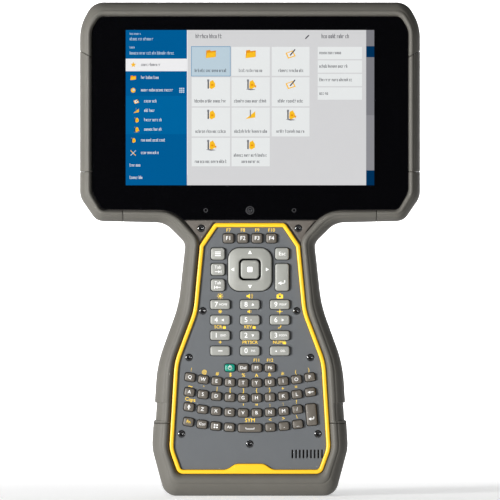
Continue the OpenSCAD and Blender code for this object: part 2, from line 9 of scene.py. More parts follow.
import bmesh
import bpy
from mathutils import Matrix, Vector


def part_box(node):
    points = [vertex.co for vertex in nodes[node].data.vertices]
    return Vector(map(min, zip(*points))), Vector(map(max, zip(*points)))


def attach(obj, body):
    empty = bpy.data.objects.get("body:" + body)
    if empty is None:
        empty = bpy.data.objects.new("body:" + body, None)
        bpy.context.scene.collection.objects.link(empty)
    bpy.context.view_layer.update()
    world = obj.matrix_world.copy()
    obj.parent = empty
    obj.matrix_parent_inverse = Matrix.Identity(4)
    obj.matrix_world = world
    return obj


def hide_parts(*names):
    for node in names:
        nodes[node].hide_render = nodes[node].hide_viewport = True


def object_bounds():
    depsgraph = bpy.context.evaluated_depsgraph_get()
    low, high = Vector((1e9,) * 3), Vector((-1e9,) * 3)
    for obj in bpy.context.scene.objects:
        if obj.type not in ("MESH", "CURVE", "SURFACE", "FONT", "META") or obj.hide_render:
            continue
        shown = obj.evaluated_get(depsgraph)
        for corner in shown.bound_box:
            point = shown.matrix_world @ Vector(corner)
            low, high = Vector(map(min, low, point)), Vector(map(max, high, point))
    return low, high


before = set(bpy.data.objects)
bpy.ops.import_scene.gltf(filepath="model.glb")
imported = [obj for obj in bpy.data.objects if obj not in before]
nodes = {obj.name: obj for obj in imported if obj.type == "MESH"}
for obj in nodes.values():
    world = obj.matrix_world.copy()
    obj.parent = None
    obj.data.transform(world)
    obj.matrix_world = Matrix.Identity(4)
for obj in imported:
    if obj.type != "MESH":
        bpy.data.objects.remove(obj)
cad_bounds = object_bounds()
random.seed(4)

MM = 0.001


def box(node):
    """Lowest and highest corner of a CAD node, in millimetres."""
    low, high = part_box(node)
    return [c / MM for c in low], [c / MM for c in high]


# ---------------------------------------------------------------- dimensions from the frame
(_, front_y, _), (half_width, back_y, height) = [[c / MM for c in corner] for corner in cad_bounds]
glass_y, frame_y = box("cover_glass")[0][1], box("cover_glass")[1][1]
trim_y = box("keypad_trim")[0][1]
plate_y, plate_back_y = box("keypad_plate")[0][1], box("keypad_plate")[1][1]
key_y = box("key_0")[0][1]
mat_y = box("keypad_mat")[0][1]
ring_y = box("dpad_ring")[0][1]
select_y = box("key_select")[0][1]
head_back_y = box("bumper_top")[1][1]

# Middles of the seams between bumper pieces. Each piece ends half a seam before the middle.
seam = 0.15
foot_seam_z = box("bumper_bottom")[1][2] + seam
corner_seam_x = box("bumper_corner_right")[0][0] - seam
door_low_z = box("bumper_corner_right")[1][2] + seam
door_high_z = 270.4
seam_slant = 4

# Half outlines seen from the front, as (x, z, corner radius), from the foot up the right side.
OUTER = [
    (51.6, 0, 9), (59.7, 29.3, 25), (56.5, 80, 75), (43.5, 115.8, 75), (39.3, 153.6, 7),
    (51.8, 166, 14), (93.4, 167, 8), (half_width, 181.5, 12), (half_width, height - 14.5, 28),
    (half_width - 8, height, 11),
]
INNER = [
    (43.8, 13.2, 5), (49.4, 28.6, 18), (46.2, 81.6, 40), (34.7, 112.2, 35), (30.7, 156.2, 9),
    (46.1, 173.3, 21), (90, 173.6, 5), (half_width - 7.2, 184.5, 10),
    (half_width - 7.2, height - 17, 12), (half_width - 12.2, height - 8.6, 6),
]
TRIM = INNER[:4] + [(30.8, 152.3, 3), (21.5, 166.1, 3.5)]
SHOULDER = [(22.2, 166.5, 1), (30.9, 153.9, 0.5), (34.6, 161.5, 9), (39.4, 167.2, 0.4)]
GLASS_Z = 167.5
TRIM_W = 2.6
KEY_GAP = 0.3
SCREW_HOLE_R = 2.3
PRINT_PROUD = 0.02


# ---------------------------------------------------------------- outlines
def unit(x, z):
    length = math.hypot(x, z)
    return x / length, z / length


def fillet(p, a, b, steps):
    """Points of the arc that rounds corner p, between its neighbours a and b."""
    u, v = unit(a[0] - p[0], a[1] - p[1]), unit(b[0] - p[0], b[1] - p[1])
    half = math.acos(u[0] * v[0] + u[1] * v[1]) / 2
    reach, far = p[2] / math.tan(half), p[2] / math.sin(half)
    m = unit(u[0] + v[0], u[1] + v[1])
    centre = p[0] + m[0] * far, p[1] + m[1] * far
    start = math.atan2(p[1] + u[1] * reach - centre[1], p[0] + u[0] * reach - centre[0])
    end = math.atan2(p[1] + v[1] * reach - centre[1], p[0] + v[0] * reach - centre[0])
    sweep = (end - start + math.pi) % (2 * math.pi) - math.pi
    return [
        (centre[0] + p[2] * math.cos(start + sweep * i / steps),
         centre[1] + p[2] * math.sin(start + sweep * i / steps))
        for i in range(steps + 1)
    ]


def rounded(corners, steps=8):
    n = len(corners)
    return [q for i in range(n) for q in fillet(corners[i], corners[i - 1], corners[(i + 1) % n], steps)]


def both_sides(half):
    return list(half) + [(-x, z, r) for x, z, r in reversed(half)]


def inset(corners, d):
    """Corners moved inwards by d, each keeping an arc about the same centre."""
    out = []
    for i, (x, z, r) in enumerate(corners):
        px, pz, _ = corners[i - 1]
        nx, nz, _ = corners[(i + 1) % len(corners)]
        b, a = unit(x - px, z - pz), unit(nx - x, nz - z)
        m = unit(-b[1] - a[1], b[0] + a[0])
        step = d / (m[0] * -b[1] + m[1] * b[0])
        turn = b[0] * a[1] - b[1] * a[0]
        out.append((x + m[0] * step, z + m[1] * step, max(r - d, 0.6) if turn > 0 else r + d))
    return out


def rectangle(w, h, r, x=0, z=0, turn=0, steps=6):
    c, s = math.cos(math.radians(turn)), math.sin(math.radians(turn))
    loop = rounded([(w / 2, -h / 2, r), (w / 2, h / 2, r), (-w / 2, h / 2, r), (-w / 2, -h / 2, r)], steps)
    return [(x + px * c - pz * s, z + px * s + pz * c) for px, pz in loop]


def circle(x, z, r, steps=32):
    return [(x + r * math.cos(t * 2 * math.pi / steps), z + r * math.sin(t * 2 * math.pi / steps))
            for t in range(steps)]


# Steps in each rounded corner of the bumper ring.
ARC = 14
outer_edge = rounded(both_sides(OUTER), ARC)
inner_edge = rounded(both_sides(INNER), ARC)
trim_corners = inset(both_sides(TRIM), 0.3)
bead_corners = inset(trim_corners, TRIM_W)
tab_z = bead_corners[0][1]
tab = [(-14, tab_z, 7), (-8.5, tab_z + 3.6, 6), (8.5, tab_z + 3.6, 6), (14, tab_z, 7)]


# ---------------------------------------------------------------- materials
def material(name, color, rough=0.5, grain=0.0, grain_size=0.25, mottle=0.06, mottle_size=12.0,
             metallic=0.0, coat=0.0, wear=0.0, emission=0.0, spec=0.5):
    """Moulded surface: mottled colour, fine grain in the bump, and paler worn edges."""
    mat = bpy.data.materials.new(name)
    mat.use_nodes = True
    tree = mat.node_tree
    n, link = tree.nodes, tree.links.new
    shader = n["Principled BSDF"]
    shader.inputs["Metallic"].default_value = metallic
    shader.inputs["Coat Weight"].default_value = coat
    shader.inputs["Coat Roughness"].default_value = 0.06
    shader.inputs["Specular IOR Level"].default_value = spec
    place = n.new("ShaderNodeTexCoord")

    def noise(size_mm, detail):
        node = n.new("ShaderNodeTexNoise")
        node.inputs["Scale"].default_value = 1 / (size_mm * MM)
        node.inputs["Detail"].default_value = detail
        link(place.outputs["Object"], node.inputs["Vector"])
        return node

    def mix(kind, factor, a, b):
        node = n.new("ShaderNodeMix")
        node.data_type = "RGBA"
        node.blend_type = kind
        for socket, value in ((0, factor), (6, a), (7, b)):
            if isinstance(value, bpy.types.NodeSocket):
                link(value, node.inputs[socket])
            else:
                node.inputs[socket].default_value = value
        return node.outputs[2]

    big = noise(mottle_size, 4)
    dark = tuple(c * (1 - mottle) for c in color) + (1,)
    pale = tuple(min(1, c * (1 + mottle)) for c in color) + (1,)
    base = mix("MIX", big.outputs["Fac"], dark, pale)
    if wear:
        edge = n.new("ShaderNodeNewGeometry")
        ramp = n.new("ShaderNodeMapRange")
        ramp.inputs["From Min"].default_value = 0.54
        ramp.inputs["From Max"].default_value = 0.7
        ramp.inputs["To Max"].default_value = wear
        link(edge.outputs["Pointiness"], ramp.inputs["Value"])
        worn = tuple(min(1, c * 1.5 + 0.03) for c in color) + (1,)
        base = mix("MIX", ramp.outputs["Result"], base, worn)
    link(base, shader.inputs["Base Color"])
    fine = noise(grain_size, 3)
    rougher = n.new("ShaderNodeMapRange")
    rougher.inputs["To Min"].default_value = rough * 0.85
    rougher.inputs["To Max"].default_value = rough * 1.15
    link(fine.outputs["Fac"], rougher.inputs["Value"])
    link(rougher.outputs["Result"], shader.inputs["Roughness"])
    if grain:
        bump = n.new("ShaderNodeBump")
        bump.inputs["Strength"].default_value = grain
        bump.inputs["Distance"].default_value = 0.06 * MM
        link(fine.outputs["Fac"], bump.inputs["Height"])
        link(bump.outputs["Normal"], shader.inputs["Normal"])
    if emission:
        link(base, shader.inputs["Emission Color"])
        shader.inputs["Emission Strength"].default_value = emission
        link(mix("MULTIPLY", 1, base, (0.08, 0.08, 0.08, 1)), shader.inputs["Base Color"])
    return mat


# Colour, roughness, grain strength, grain size in mm, mottle strength and mottle size in mm.
bumper_rubber = material("bumper_rubber", (0.1, 0.095, 0.083), 0.55, 0.35, 0.35, 0.06, 9,
                         wear=0.15, spec=0.22)
rear_plastic = material("rear_plastic", (0.022, 0.022, 0.022), 0.55, 0.7, 0.45, 0.12, 14, wear=0.1)
front_plastic = material("front_plastic", (0.088, 0.076, 0.064), 0.5, 0.3, 0.3, 0.06, 8, wear=0.1)
plate_plastic = material("plate_plastic", (0.086, 0.092, 0.098), 0.5, 0.35, 0.28, 0.05, 10)
trim_plastic = material("trim_plastic", (0.80, 0.46, 0.012), 0.38, 0.15, 0.3, 0.03, 10)
light_plastic = material("light_key_plastic", (0.25, 0.252, 0.23), 0.46, 0.25, 0.25, 0.05, 7)
dark_plastic = material("dark_key_plastic", (0.092, 0.08, 0.065), 0.48, 0.25, 0.25, 0.07, 6)
green_plastic = material("power_key_plastic", (0.0, 0.2, 0.135), 0.42, 0.2, 0.25, 0.05, 6)
black_plastic = material("black_plastic", (0.006, 0.006, 0.0065), 0.6, 0.3, 0.3, 0.15, 5)
mat_rubber = material("mat_rubber", (0.008, 0.008, 0.008), 0.7, 0.3, 0.3, 0.2, 5)
glass_black = material("glass_black", (0.0012, 0.0012, 0.0016), 0.03, 0, 0.5, 0.1, 20, spec=0.35)
lens_black = material("lens_black", (0.008, 0.009, 0.012), 0.08, 0, 0.5, 0.3, 1, coat=0.8)
lens_ring = material("lens_ring", (0.022, 0.022, 0.024), 0.3, 0.2, 0.2, 0.1, 1)
screw_steel = material("screw_steel", (0.006, 0.006, 0.007), 0.16, 0.1, 0.2, 0.2, 1, coat=0.8)
brass = material("insert_brass", (0.62, 0.42, 0.14), 0.3, 0.3, 0.2, 0.1, 2, metallic=1)
latch_metal = material("latch_metal", (0.42, 0.42, 0.43), 0.32, 0.3, 0.2, 0.08, 3, metallic=1)
white_ink = material("white_ink", (0.86, 0.86, 0.84), 0.5, 0.1, 0.1, 0.02, 1)
yellow_ink = material("yellow_ink", (0.95, 0.62, 0.03), 0.5, 0.1, 0.1, 0.02, 1)
board_green = material("board_green", (0.01, 0.1, 0.04), 0.35, 0.3, 0.4, 0.2, 3, coat=0.3)
cell_wrap = material("cell_wrap", (0.02, 0.02, 0.026), 0.3, 0.2, 0.6, 0.1, 6)
socket_black = material("socket_black", (0.012, 0.012, 0.013), 0.45, 0.3, 0.2, 0.1, 2)


# ---------------------------------------------------------------- meshes
def smooth_by_angle(mesh, degrees=35):
    bm = bmesh.new()
    bm.from_mesh(mesh)
    bmesh.ops.remove_doubles(bm, verts=bm.verts, dist=2e-6)
    bmesh.ops.recalc_face_normals(bm, faces=bm.faces)
    limit = math.radians(degrees)
    for face in bm.faces:
        face.smooth = True
    for edge in bm.edges:
        edge.smooth = len(edge.link_faces) == 2 and edge.calc_face_angle(0) < limit
    bm.to_mesh(mesh)
    bm.free()


def new_object(name, data):
    obj = bpy.data.objects.new(name, data)
    bpy.context.scene.collection.objects.link(obj)
    return obj


def add(name, parts, mats, body, replaces=(), degrees=35):
    """Object made of parts, with its materials, the body it rides on and the nodes it replaces."""
    mesh = merge(parts, name)
    smooth_by_angle(mesh, degrees)
    obj = new_object(name, mesh)
    for mat in mats if isinstance(mats, (list, tuple)) else [mats]:
        mesh.materials.append(mat)
    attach(obj, body)
    if replaces:
        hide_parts(*replaces)
    return obj


def from_rings(rings, caps=True):
    """Mesh data through rings of equal length, in millimetres."""
    m = len(rings[0])
    verts = [tuple(c * MM for c in p) for ring in rings for p in ring]
    faces = []
    for i in range(len(rings) - 1):
        for j in range(m):
            k = (j + 1) % m
            faces.append((i * m + j, i * m + k, (i + 1) * m + k, (i + 1) * m + j))
    if caps:
        faces.append(tuple(range(m - 1, -1, -1)))
        faces.append(tuple((len(rings) - 1) * m + j for j in range(m)))
    return verts, faces


def merge(parts, name):
    """One mesh from several (verts, faces, material index)."""
    mesh = bpy.data.meshes.new(name)
    verts, faces, slots = [], [], []
    for v, f, slot in parts:
        base = len(verts)
        verts += v
        faces += [tuple(base + i for i in face) for face in f]
        slots += [slot] * len(f)
    mesh.from_pydata(verts, [], faces)
    mesh.polygons.foreach_set("material_index", slots)
    return mesh


def signed_area(loop):
    return sum(a[0] * b[1] - b[0] * a[1] for a, b in zip(loop, loop[1:] + loop[:1])) / 2


def curve_data(curve):
    """(verts, faces) of a curve laid in X and Z, its thickness along Y."""
    obj = new_object("scratch", curve)
    mesh = bpy.data.meshes.new_from_object(obj.evaluated_get(bpy.context.evaluated_depsgraph_get()))
    verts = [tuple(v.co) for v in mesh.vertices]
    faces = [tuple(p.vertices) for p in mesh.polygons]
    bpy.data.objects.remove(obj)
    bpy.data.meshes.remove(mesh)
    return verts, faces


def slab(loops, y0, y1, bevel=0.2, slot=0, steps=3):
    """Slab of a 2D outline with holes, from depth y0 to y1, with rounded edges."""
    curve = bpy.data.curves.new("scratch", "CURVE")
    curve.dimensions = "2D"
    curve.fill_mode = "BOTH"
    curve.extrude = ((y1 - y0) / 2 - bevel) * MM
    curve.bevel_depth = bevel * MM
    curve.bevel_resolution = steps
    curve.offset = -bevel * MM
    for i, loop in enumerate(loops):
        if (signed_area(loop) > 0) != (i == 0):
            loop = loop[::-1]
        spline = curve.splines.new("POLY")
        spline.points.add(len(loop) - 1)
        spline.use_cyclic_u = True
        for point, (x, z) in zip(spline.points, loop):
            point.co = (x * MM, z * MM, 0, 1)
    verts, faces = curve_data(curve)
    bpy.data.curves.remove(curve)
    middle = (y0 + y1) / 2 * MM
    return [(x, middle - d, z) for x, z, d in verts], faces, slot


def words(text, size, x, z, y, slot=0, turn=0, depth=0.12):
    """Printed characters standing just proud of depth y."""
    curve = bpy.data.curves.new("scratch", "FONT")
    curve.body = text
    curve.size = size * MM
    curve.align_x = "CENTER"
    curve.align_y = "CENTER"
    curve.extrude = depth / 2 * MM
    curve.resolution_u = 3
    verts, faces = curve_data(curve)
    bpy.data.curves.remove(curve)
    c, s = math.cos(math.radians(turn)), math.sin(math.radians(turn))
    mid = (y - PRINT_PROUD + depth / 2) * MM
    out = []
    for px, pz, d in verts:
        out.append((x * MM + px * c - pz * s, mid - d, z * MM + px * s + pz * c))
    return out, faces, slot


# ---------------------------------------------------------------- bumpers
# Cross-section of a bumper as (share of the way from the outer to the inner edge, depth in mm).
FRONT_PROFILE = [
    (1.0, 4.0), (1.0, 3.3), (0.985, 2.5), (0.95, 1.6), (0.91, 0.95), (0.87, 0.5), (0.82, 0.16),
    (0.77, 0.02), (0.72, 0.0), (0.66, 0.14), (0.61, 0.4), (0.58, 0.72), (0.56, 1.0), (0.54, 1.08),
    (0.51, 1.1), (0.46, 1.4), (0.38, 2.0), (0.3, 2.75), (0.22, 3.65), (0.15, 4.7), (0.09, 5.9),
    (0.04, 7.4), (0.01, 9.0), (0.0, 11.0),
]


# Each profile takes the height of the section, which only the foot's uses.
def grip_profile(z):
    depth = head_back_y - front_y
    return FRONT_PROFILE + [
        (0.0, 17), (0.0, depth - 7), (0.015, depth - 4.6), (0.06, depth - 2.6), (0.14, depth - 1.1),
        (0.24, depth - 0.3), (0.34, depth), (0.45, depth), (0.45, 12), (0.45, 4.2),
    ]


def foot_profile(z):
    depth = back_y - 4 - 10 * min(1, z / 24) - front_y
    return FRONT_PROFILE + [
        (0.0, 17), (0.0, depth - 3), (0.015, depth - 1.2), (0.05, depth + 0.3), (0.1, depth + 1.6),
        (0.17, depth + 2.7), (0.27, depth + 3.5), (0.36, depth + 3.9), (0.45, depth + 4),
        (0.45, 12), (0.45, 4.2),
    ]


def door_profile(z):
    hinge = 30.2
    return FRONT_PROFILE + [
        (0.0, 17), (0.0, hinge - 1.6), (0.03, hinge - 0.5), (0.09, hinge + 0.1), (0.2, hinge + 0.2),
        (0.3, hinge + 0.1), (0.38, hinge - 0.4), (0.42, hinge - 1.4), (0.42, 22), (0.42, 12), (0.42, 4.2),
    ]


# Corners of OUTER and INNER after which a straight run is cut, and the axis of the cut's value.
GRIP_SIDE, HEAD_UNDERSIDE, HEAD_SIDE = 1, 5, 7
ALONG_X, ALONG_Z = 0, 1


def arcs(first, last):
    """Outer and inner points round the corners from first to last."""
    step = ARC + 1
    return [(outer_edge[i], inner_edge[i]) for i in range(first * step, last * step + step)]


def cut_at(corner, axis, outer_value, inner_value):
    """Outer and inner point where a cut crosses the straight run after a corner."""
    step = ARC + 1
    out = []
    for edge, value in ((outer_edge, outer_value), (inner_edge, inner_value)):
        a, b = edge[corner * step + ARC], edge[corner * step + step]
        t = (value - a[axis]) / (b[axis] - a[axis])
        out.append((a[0] + (b[0] - a[0]) * t, a[1] + (b[1] - a[1]) * t))
    return tuple(out)


def flipped(pairs):
    return [((-o[0], o[1]), (-i[0], i[1])) for o, i in reversed(pairs)]


def station(pair, profile, shrink=0.0):
    """The profile between an outer and an inner point, drawn in towards its middle by shrink."""
    (ox, oz), (ix, iz) = pair
    ring = []
    for u, y in profile(oz):
        ring.append(Vector((ox + (ix - ox) * u, front_y + y, oz + (iz - oz) * u)))
    if shrink:
        middle = sum(ring, Vector()) / len(ring)
        ring = [p + (middle - p).normalized() * shrink for p in ring]
    return ring


def sweep(pairs, profile):
    """Loft a profile along pairs, with its two ends rounded off at the seams."""
    def toward(a, b, d):
        out = []
        for p, q in zip(a, b):
            length = math.hypot(q[0] - p[0], q[1] - p[1])
            out.append((p[0] + (q[0] - p[0]) * d / length, p[1] + (q[1] - p[1]) * d / length))
        return tuple(out)

    first, last = pairs[0], pairs[-1]
    # Distance from the seam, and how far the section is drawn in there.
    ends = [(0.0, 0.45), (0.12, 0.2), (0.35, 0.04)]
    full = 0.6
    middle = [toward(first, pairs[1], full)] + pairs[1:-1] + [toward(last, pairs[-2], full)]
    rings = [station(toward(first, pairs[1], d), profile, s) for d, s in ends]
    rings += [station(p, profile) for p in middle]
    rings += [station(toward(last, pairs[-2], d), profile, s) for d, s in reversed(ends)]
    return from_rings(rings)


def mirrored(data):
    return [(-x, y, z) for x, y, z in data[0]], [tuple(reversed(f)) for f in data[1]]


def bumper(name, pairs, profile, body="unit", mirror=False):
    data = sweep(pairs, profile)
    if mirror:
        data = mirrored(data)
    return add(name + "_skin", [(data[0], data[1], 0)], bumper_rubber, body, [name], 40)


top_half = [cut_at(HEAD_SIDE, ALONG_Z, door_high_z + seam, door_high_z - seam_slant + seam)] + arcs(8, 9)
bumper("bumper_top", top_half + flipped(top_half), grip_profile)
corner_pairs = (
    [cut_at(HEAD_UNDERSIDE, ALONG_X, corner_seam_x + seam, corner_seam_x + seam)] + arcs(6, 7)
    + [cut_at(HEAD_SIDE, ALONG_Z, door_low_z - seam, door_low_z - seam)]
)
# Shallow notch in the outer edge of each neck piece.
NOTCH_LOW, NOTCH_HIGH, NOTCH_DEPTH = 45.6, 56.9, 1.2


def notch_pair(z, d):
    outer, inner = cut_at(GRIP_SIDE, ALONG_Z, z, z)
    return (outer[0] - d, outer[1]), inner


notch_steps = (
    (NOTCH_LOW - 0.1, 0), (NOTCH_LOW + 0.2, 0.8), (NOTCH_LOW + 0.7, 1),
    (NOTCH_HIGH - 0.7, 1), (NOTCH_HIGH - 0.2, 0.8), (NOTCH_HIGH + 0.1, 0),
)
neck_pairs = [cut_at(GRIP_SIDE, ALONG_Z, foot_seam_z + seam, foot_seam_z + seam)]
neck_pairs += [notch_pair(z, NOTCH_DEPTH * share) for z, share in notch_steps]
neck_pairs += arcs(2, 5) + [cut_at(HEAD_UNDERSIDE, ALONG_X, corner_seam_x - seam, corner_seam_x - seam)]
door_pairs = [
    cut_at(HEAD_SIDE, ALONG_Z, door_low_z + seam, door_low_z + seam),
    cut_at(HEAD_SIDE, ALONG_Z, door_low_z + 20, door_low_z + 20),
    cut_at(HEAD_SIDE, ALONG_Z, door_high_z - 20, door_high_z - 20),
    cut_at(HEAD_SIDE, ALONG_Z, door_high_z - seam, door_high_z - seam_slant - seam),
]
foot_half = arcs(0, 1) + [cut_at(GRIP_SIDE, ALONG_Z, foot_seam_z - seam, foot_seam_z - seam)]
# The doors' top corners at the rear are lowered, to clear the top bumper as they swing.
DOOR_CORNER_H, DOOR_CORNER_DEPTH, DOOR_CORNER_DROP = 3.5, 5, 1.4
for side in ("right", "left"):
    mirror = side == "left"
    bumper("bumper_corner_" + side, corner_pairs, grip_profile, mirror=mirror)
    bumper("bumper_neck_" + side, neck_pairs, grip_profile, mirror=mirror)
    door = bumper("port_door_" + side, door_pairs, door_profile, side + "_port_door", mirror=mirror)
    for vertex in door.data.vertices:
        near_top = vertex.co.z > (door_high_z - DOOR_CORNER_H) * MM
        if near_top and vertex.co.y > (head_back_y - DOOR_CORNER_DEPTH) * MM:
            vertex.co.z -= DOOR_CORNER_DROP * MM
bumper("bumper_bottom", flipped(foot_half) + foot_half, foot_profile)


# ---------------------------------------------------------------- keypad
def letter_key(row, col, w=6.6):
    """Key on a row that curves up towards both ends and fans out."""
    pitch = 8.08 + 0.07 * row
    row_z = 68.7 - row * 9.1
    x = (col - 4.5) * pitch
    return (x, row_z + x * x / 376, w, 5.4, x / 4)


# Each key is (x, z, width, height, turn in degrees).
SOFT = [((i - 1.5) * 8.7, 156.5, 6.9, 6.1, 0) for i in range(4)]
MENU, TAB_FORWARD, TAB_BACK = [(-19.5, z, 8.8, 7.6, 0) for z in (147.1, 137.6, 128.1)]
ESCAPE, ENTER = (19.5, 147.1, 8.8, 7.6, 0), (19.5, 132.9, 8.8, 17, 0)
DPAD_Z, DPAD_W, DPAD_H, DPAD_HOLE = 137.6, 26.6, 26.2, 13.2
NUMBERS = [[((c - 1) * 18.1, 116.3 - r * 9.37, 12.3, 6.1, 0) for c in range(3)] for r in range(4)]
POWER = (-12.15, 77.9, 6.6, 4.9, 0)
EDIT = [(-4.05 + i * 8.1, 77.9, 6.8, 5.3, 0) for i in range(3)]
ROW_Q = [letter_key(0, c) for c in range(10)]
ROW_A = [letter_key(1, c) for c in range(10)]
ROW_Z = [letter_key(2, c) for c in range(9)]
ROW_FN = [letter_key(3, c) for c in (0, 1, 2, 3, 6, 7, 8)]
SPACE = letter_key(3, 4.5, 14.8)
SIDE_ENTER = (37.3, 49.5, 6.8, 13.6, 5)
SINGLE = {f"key_f{i}": key for i, key in enumerate(SOFT, 1)}
SINGLE.update(
    key_menu=MENU, key_tab_forward=TAB_FORWARD, key_tab_back=TAB_BACK, key_escape=ESCAPE,
    key_enter=ENTER, key_power=POWER, key_space=SPACE, key_side_enter=SIDE_ENTER,
)
for row, names in enumerate((("7", "8", "9"), ("4", "5", "6"), ("1", "2", "3"), ("minus", "0", "point"))):
    for col, key_name in enumerate(names):
        SINGLE["key_" + key_name] = NUMBERS[row][col]
GROUPS = {
    "keys_delete_f5_f6": EDIT, "keys_row_q": ROW_Q, "keys_row_a": ROW_A,
    "keys_row_z": ROW_Z, "keys_row_fn": ROW_FN,
}
CORNER_SCREWS = [(-29.5, 162.6), (29.5, 162.6)]
PLATE_SCREWS = [(side * x, z) for x, z in ((28.5, 112.5), (36.9, 84.2), (41.4, 37.8)) for side in (-1, 1)]
PLATE_SCREWS.append((0, 31.7))
REAR_SCREWS = [(x, z) for x in (-66, 66) for z in (212, 280)]
SPEAKER_SLOTS = [25.8 + i * 2.25 for i in range(9)]
SLIM = 0.4
BASE_GAP = 1.1


def cap(key, top=None, bevel=0.85, dome=0.22, radius=1.3):
    """Key cap with a rolled edge and a slightly domed top."""
    x, z, w, h, turn = key
    w, h = w - SLIM, h - SLIM
    top = key_y if top is None else top
    side = rectangle(w, h, radius, x, z, turn)
    rings = [[(px, y, pz) for px, pz in side] for y in (mat_y - BASE_GAP, plate_y)]
    edge_y = top + dome
    for i in range(6):
        t = math.radians(90 * i / 5)
        d = bevel * (1 - math.cos(t))
        y = edge_y + bevel * (1 - math.sin(t))
        r = max(radius - d, 0.25)
        rings.append([(p[0], y, p[1]) for p in rectangle(w - 2 * d, h - 2 * d, r, x, z, turn)])
    flat = [(p[0], p[2]) for p in rings[-1]]
    for share in (0.85, 0.65, 0.4, 0.15):
        y = top + dome * share * share
        rings.append([(x + (px - x) * share, y, z + (pz - z) * share) for px, pz in flat])
    return (*from_rings(rings), 0)


def stamp(loops, y, slot):
    """Print that stands just proud of depth y and is rooted 0.2 mm into the key."""
    return slab(loops, y - PRINT_PROUD, y + 0.2, 0.02, slot, 1)


def arrow(x, z, size, direction, y, slot):
    """Small printed triangle pointing up, down, left or right."""
    turn = {"right": 0, "up": 90, "left": 180, "down": 270}[direction]
    c, s = math.cos(math.radians(turn)), math.sin(math.radians(turn))
    tri = [(0.62, 0), (-0.38, 0.55), (-0.38, -0.55)]
    loop = [(x + size * (a * c - b * s), z + size * (a * s + b * c)) for a, b in tri]
    return stamp([loop], y, slot)


def line(points, width, y, slot):
    """Printed stroke along points, as one flat strip."""
    loops = []
    for a, b in zip(points, points[1:]):
        dx, dz = unit(b[0] - a[0], b[1] - a[1])
        nx, nz = -dz * width / 2, dx * width / 2
        ex, ez = dx * width / 2, dz * width / 2
        loops.append([(a[0] - ex + nx, a[1] - ez + nz), (a[0] - ex - nx, a[1] - ez - nz),
                      (b[0] + ex - nx, b[1] + ez - nz), (b[0] + ex + nx, b[1] + ez + nz)])
    verts, faces = [], []
    for loop in loops:
        v, f, _ = slab([loop], y - PRINT_PROUD, y + 0.2, 0.01, slot, 0)
        faces += [tuple(len(verts) + i for i in face) for face in f]
        verts += v
    return verts, faces, slot


def enter_arrow(x, z, size, y, slot):
    """Arrow that comes down and turns left."""
    right = x + size * 0.55
    return [
        line([(right, z + size * 0.55), (right, z), (x - size * 0.3, z)], size * 0.2, y, slot),
        arrow(x - size * 0.45, z, size * 0.75, "left", y, slot),
    ]


def key_piece(name, keys, mat, inks=(), body=None, **shape):
    parts = [cap(key, **shape) for key in keys] + list(inks)
    return add(name + "_cap", parts, [mat, white_ink, yellow_ink, black_plastic], body or name, [name], 38)


TOP = key_y
WHITE, YELLOW = 1, 2


def at(key, dx, dz):
    c, s = math.cos(math.radians(key[4])), math.sin(math.radians(key[4]))
    return key[0] + dx * c - dz * s, key[1] + dx * s + dz * c


def label(key, text, size, dx=0.0, dz=0.0, slot=WHITE):
    x, z = at(key, dx, dz)
    return words(text, size, x, z, TOP, slot, key[4])


def tab_key(name, key, direction):
    """Tab key: the word over an arrow that runs into a bar."""
    sign = 1 if direction == "right" else -1
    x, z = key[0], key[1] - 1.35
    inks = [
        words("Tab", 2.7, x, key[1] + 1.35, TOP, WHITE),
        line([(x - 1.6 * sign, z), (x + 0.6 * sign, z)], 0.35, TOP, WHITE),
        arrow(x + 0.8 * sign, z, 1.5, direction, TOP, WHITE),
        line([(x + 2.0 * sign, z - 0.8), (x + 2.0 * sign, z + 0.8)], 0.35, TOP, WHITE),
    ]
    key_piece(name, [key], light_plastic, inks, radius=1.6)


for i, key in enumerate(SOFT, 1):
    key_piece(f"key_f{i}", [key], dark_plastic, [label(key, f"F{i}", 3.4)], radius=1.3)

bars = [line([at(MENU, -1.5, d), at(MENU, 1.5, d)], 0.5, TOP, WHITE) for d in (-1.1, 0, 1.1)]
key_piece("key_menu", [MENU], light_plastic, bars, radius=1.6)
tab_key("key_tab_forward", TAB_FORWARD, "right")
tab_key("key_tab_back", TAB_BACK, "left")
key_piece("key_escape", [ESCAPE], light_plastic, [label(ESCAPE, "Esc", 3.2)], radius=1.6)
enter_ink = enter_arrow(ENTER[0], ENTER[1] - 3.6, 2.8, TOP, WHITE)
key_piece("key_enter", [ENTER], light_plastic, enter_ink, radius=1.6)

SECOND = {
    "7": "HOME", "8": "up", "9": "PGUP", "4": "left", "5": None, "6": "right",
    "1": "END", "2": "down", "3": "PGDN", "0": "INS", "minus": None, "point": "DEL",
}
for name, second in SECOND.items():
    key = SINGLE["key_" + name]
    if name == "minus":
        inks = [line([(key[0] - 1.0, key[1]), (key[0] + 1.2, key[1])], 0.45, TOP, WHITE)]
    elif name == "point":
        inks = [stamp([circle(key[0] - 2.2, key[1] - 0.2, 0.45, 14)], TOP, WHITE)]
    else:
        inks = [label(key, name, 4.3, -2.4)]
    if name == "5":
        inks.append(stamp([circle(key[0] + 0.6, key[1], 0.3, 12)], TOP, WHITE))
    elif second and second.isupper():
        inks.append(label(key, second, 1.75, 1.9))
    elif second:
        inks.append(arrow(key[0] + 1.7, key[1], 1.5, second, TOP, WHITE))
    key_piece("key_" + name, [key], light_plastic, inks, radius=1.4)

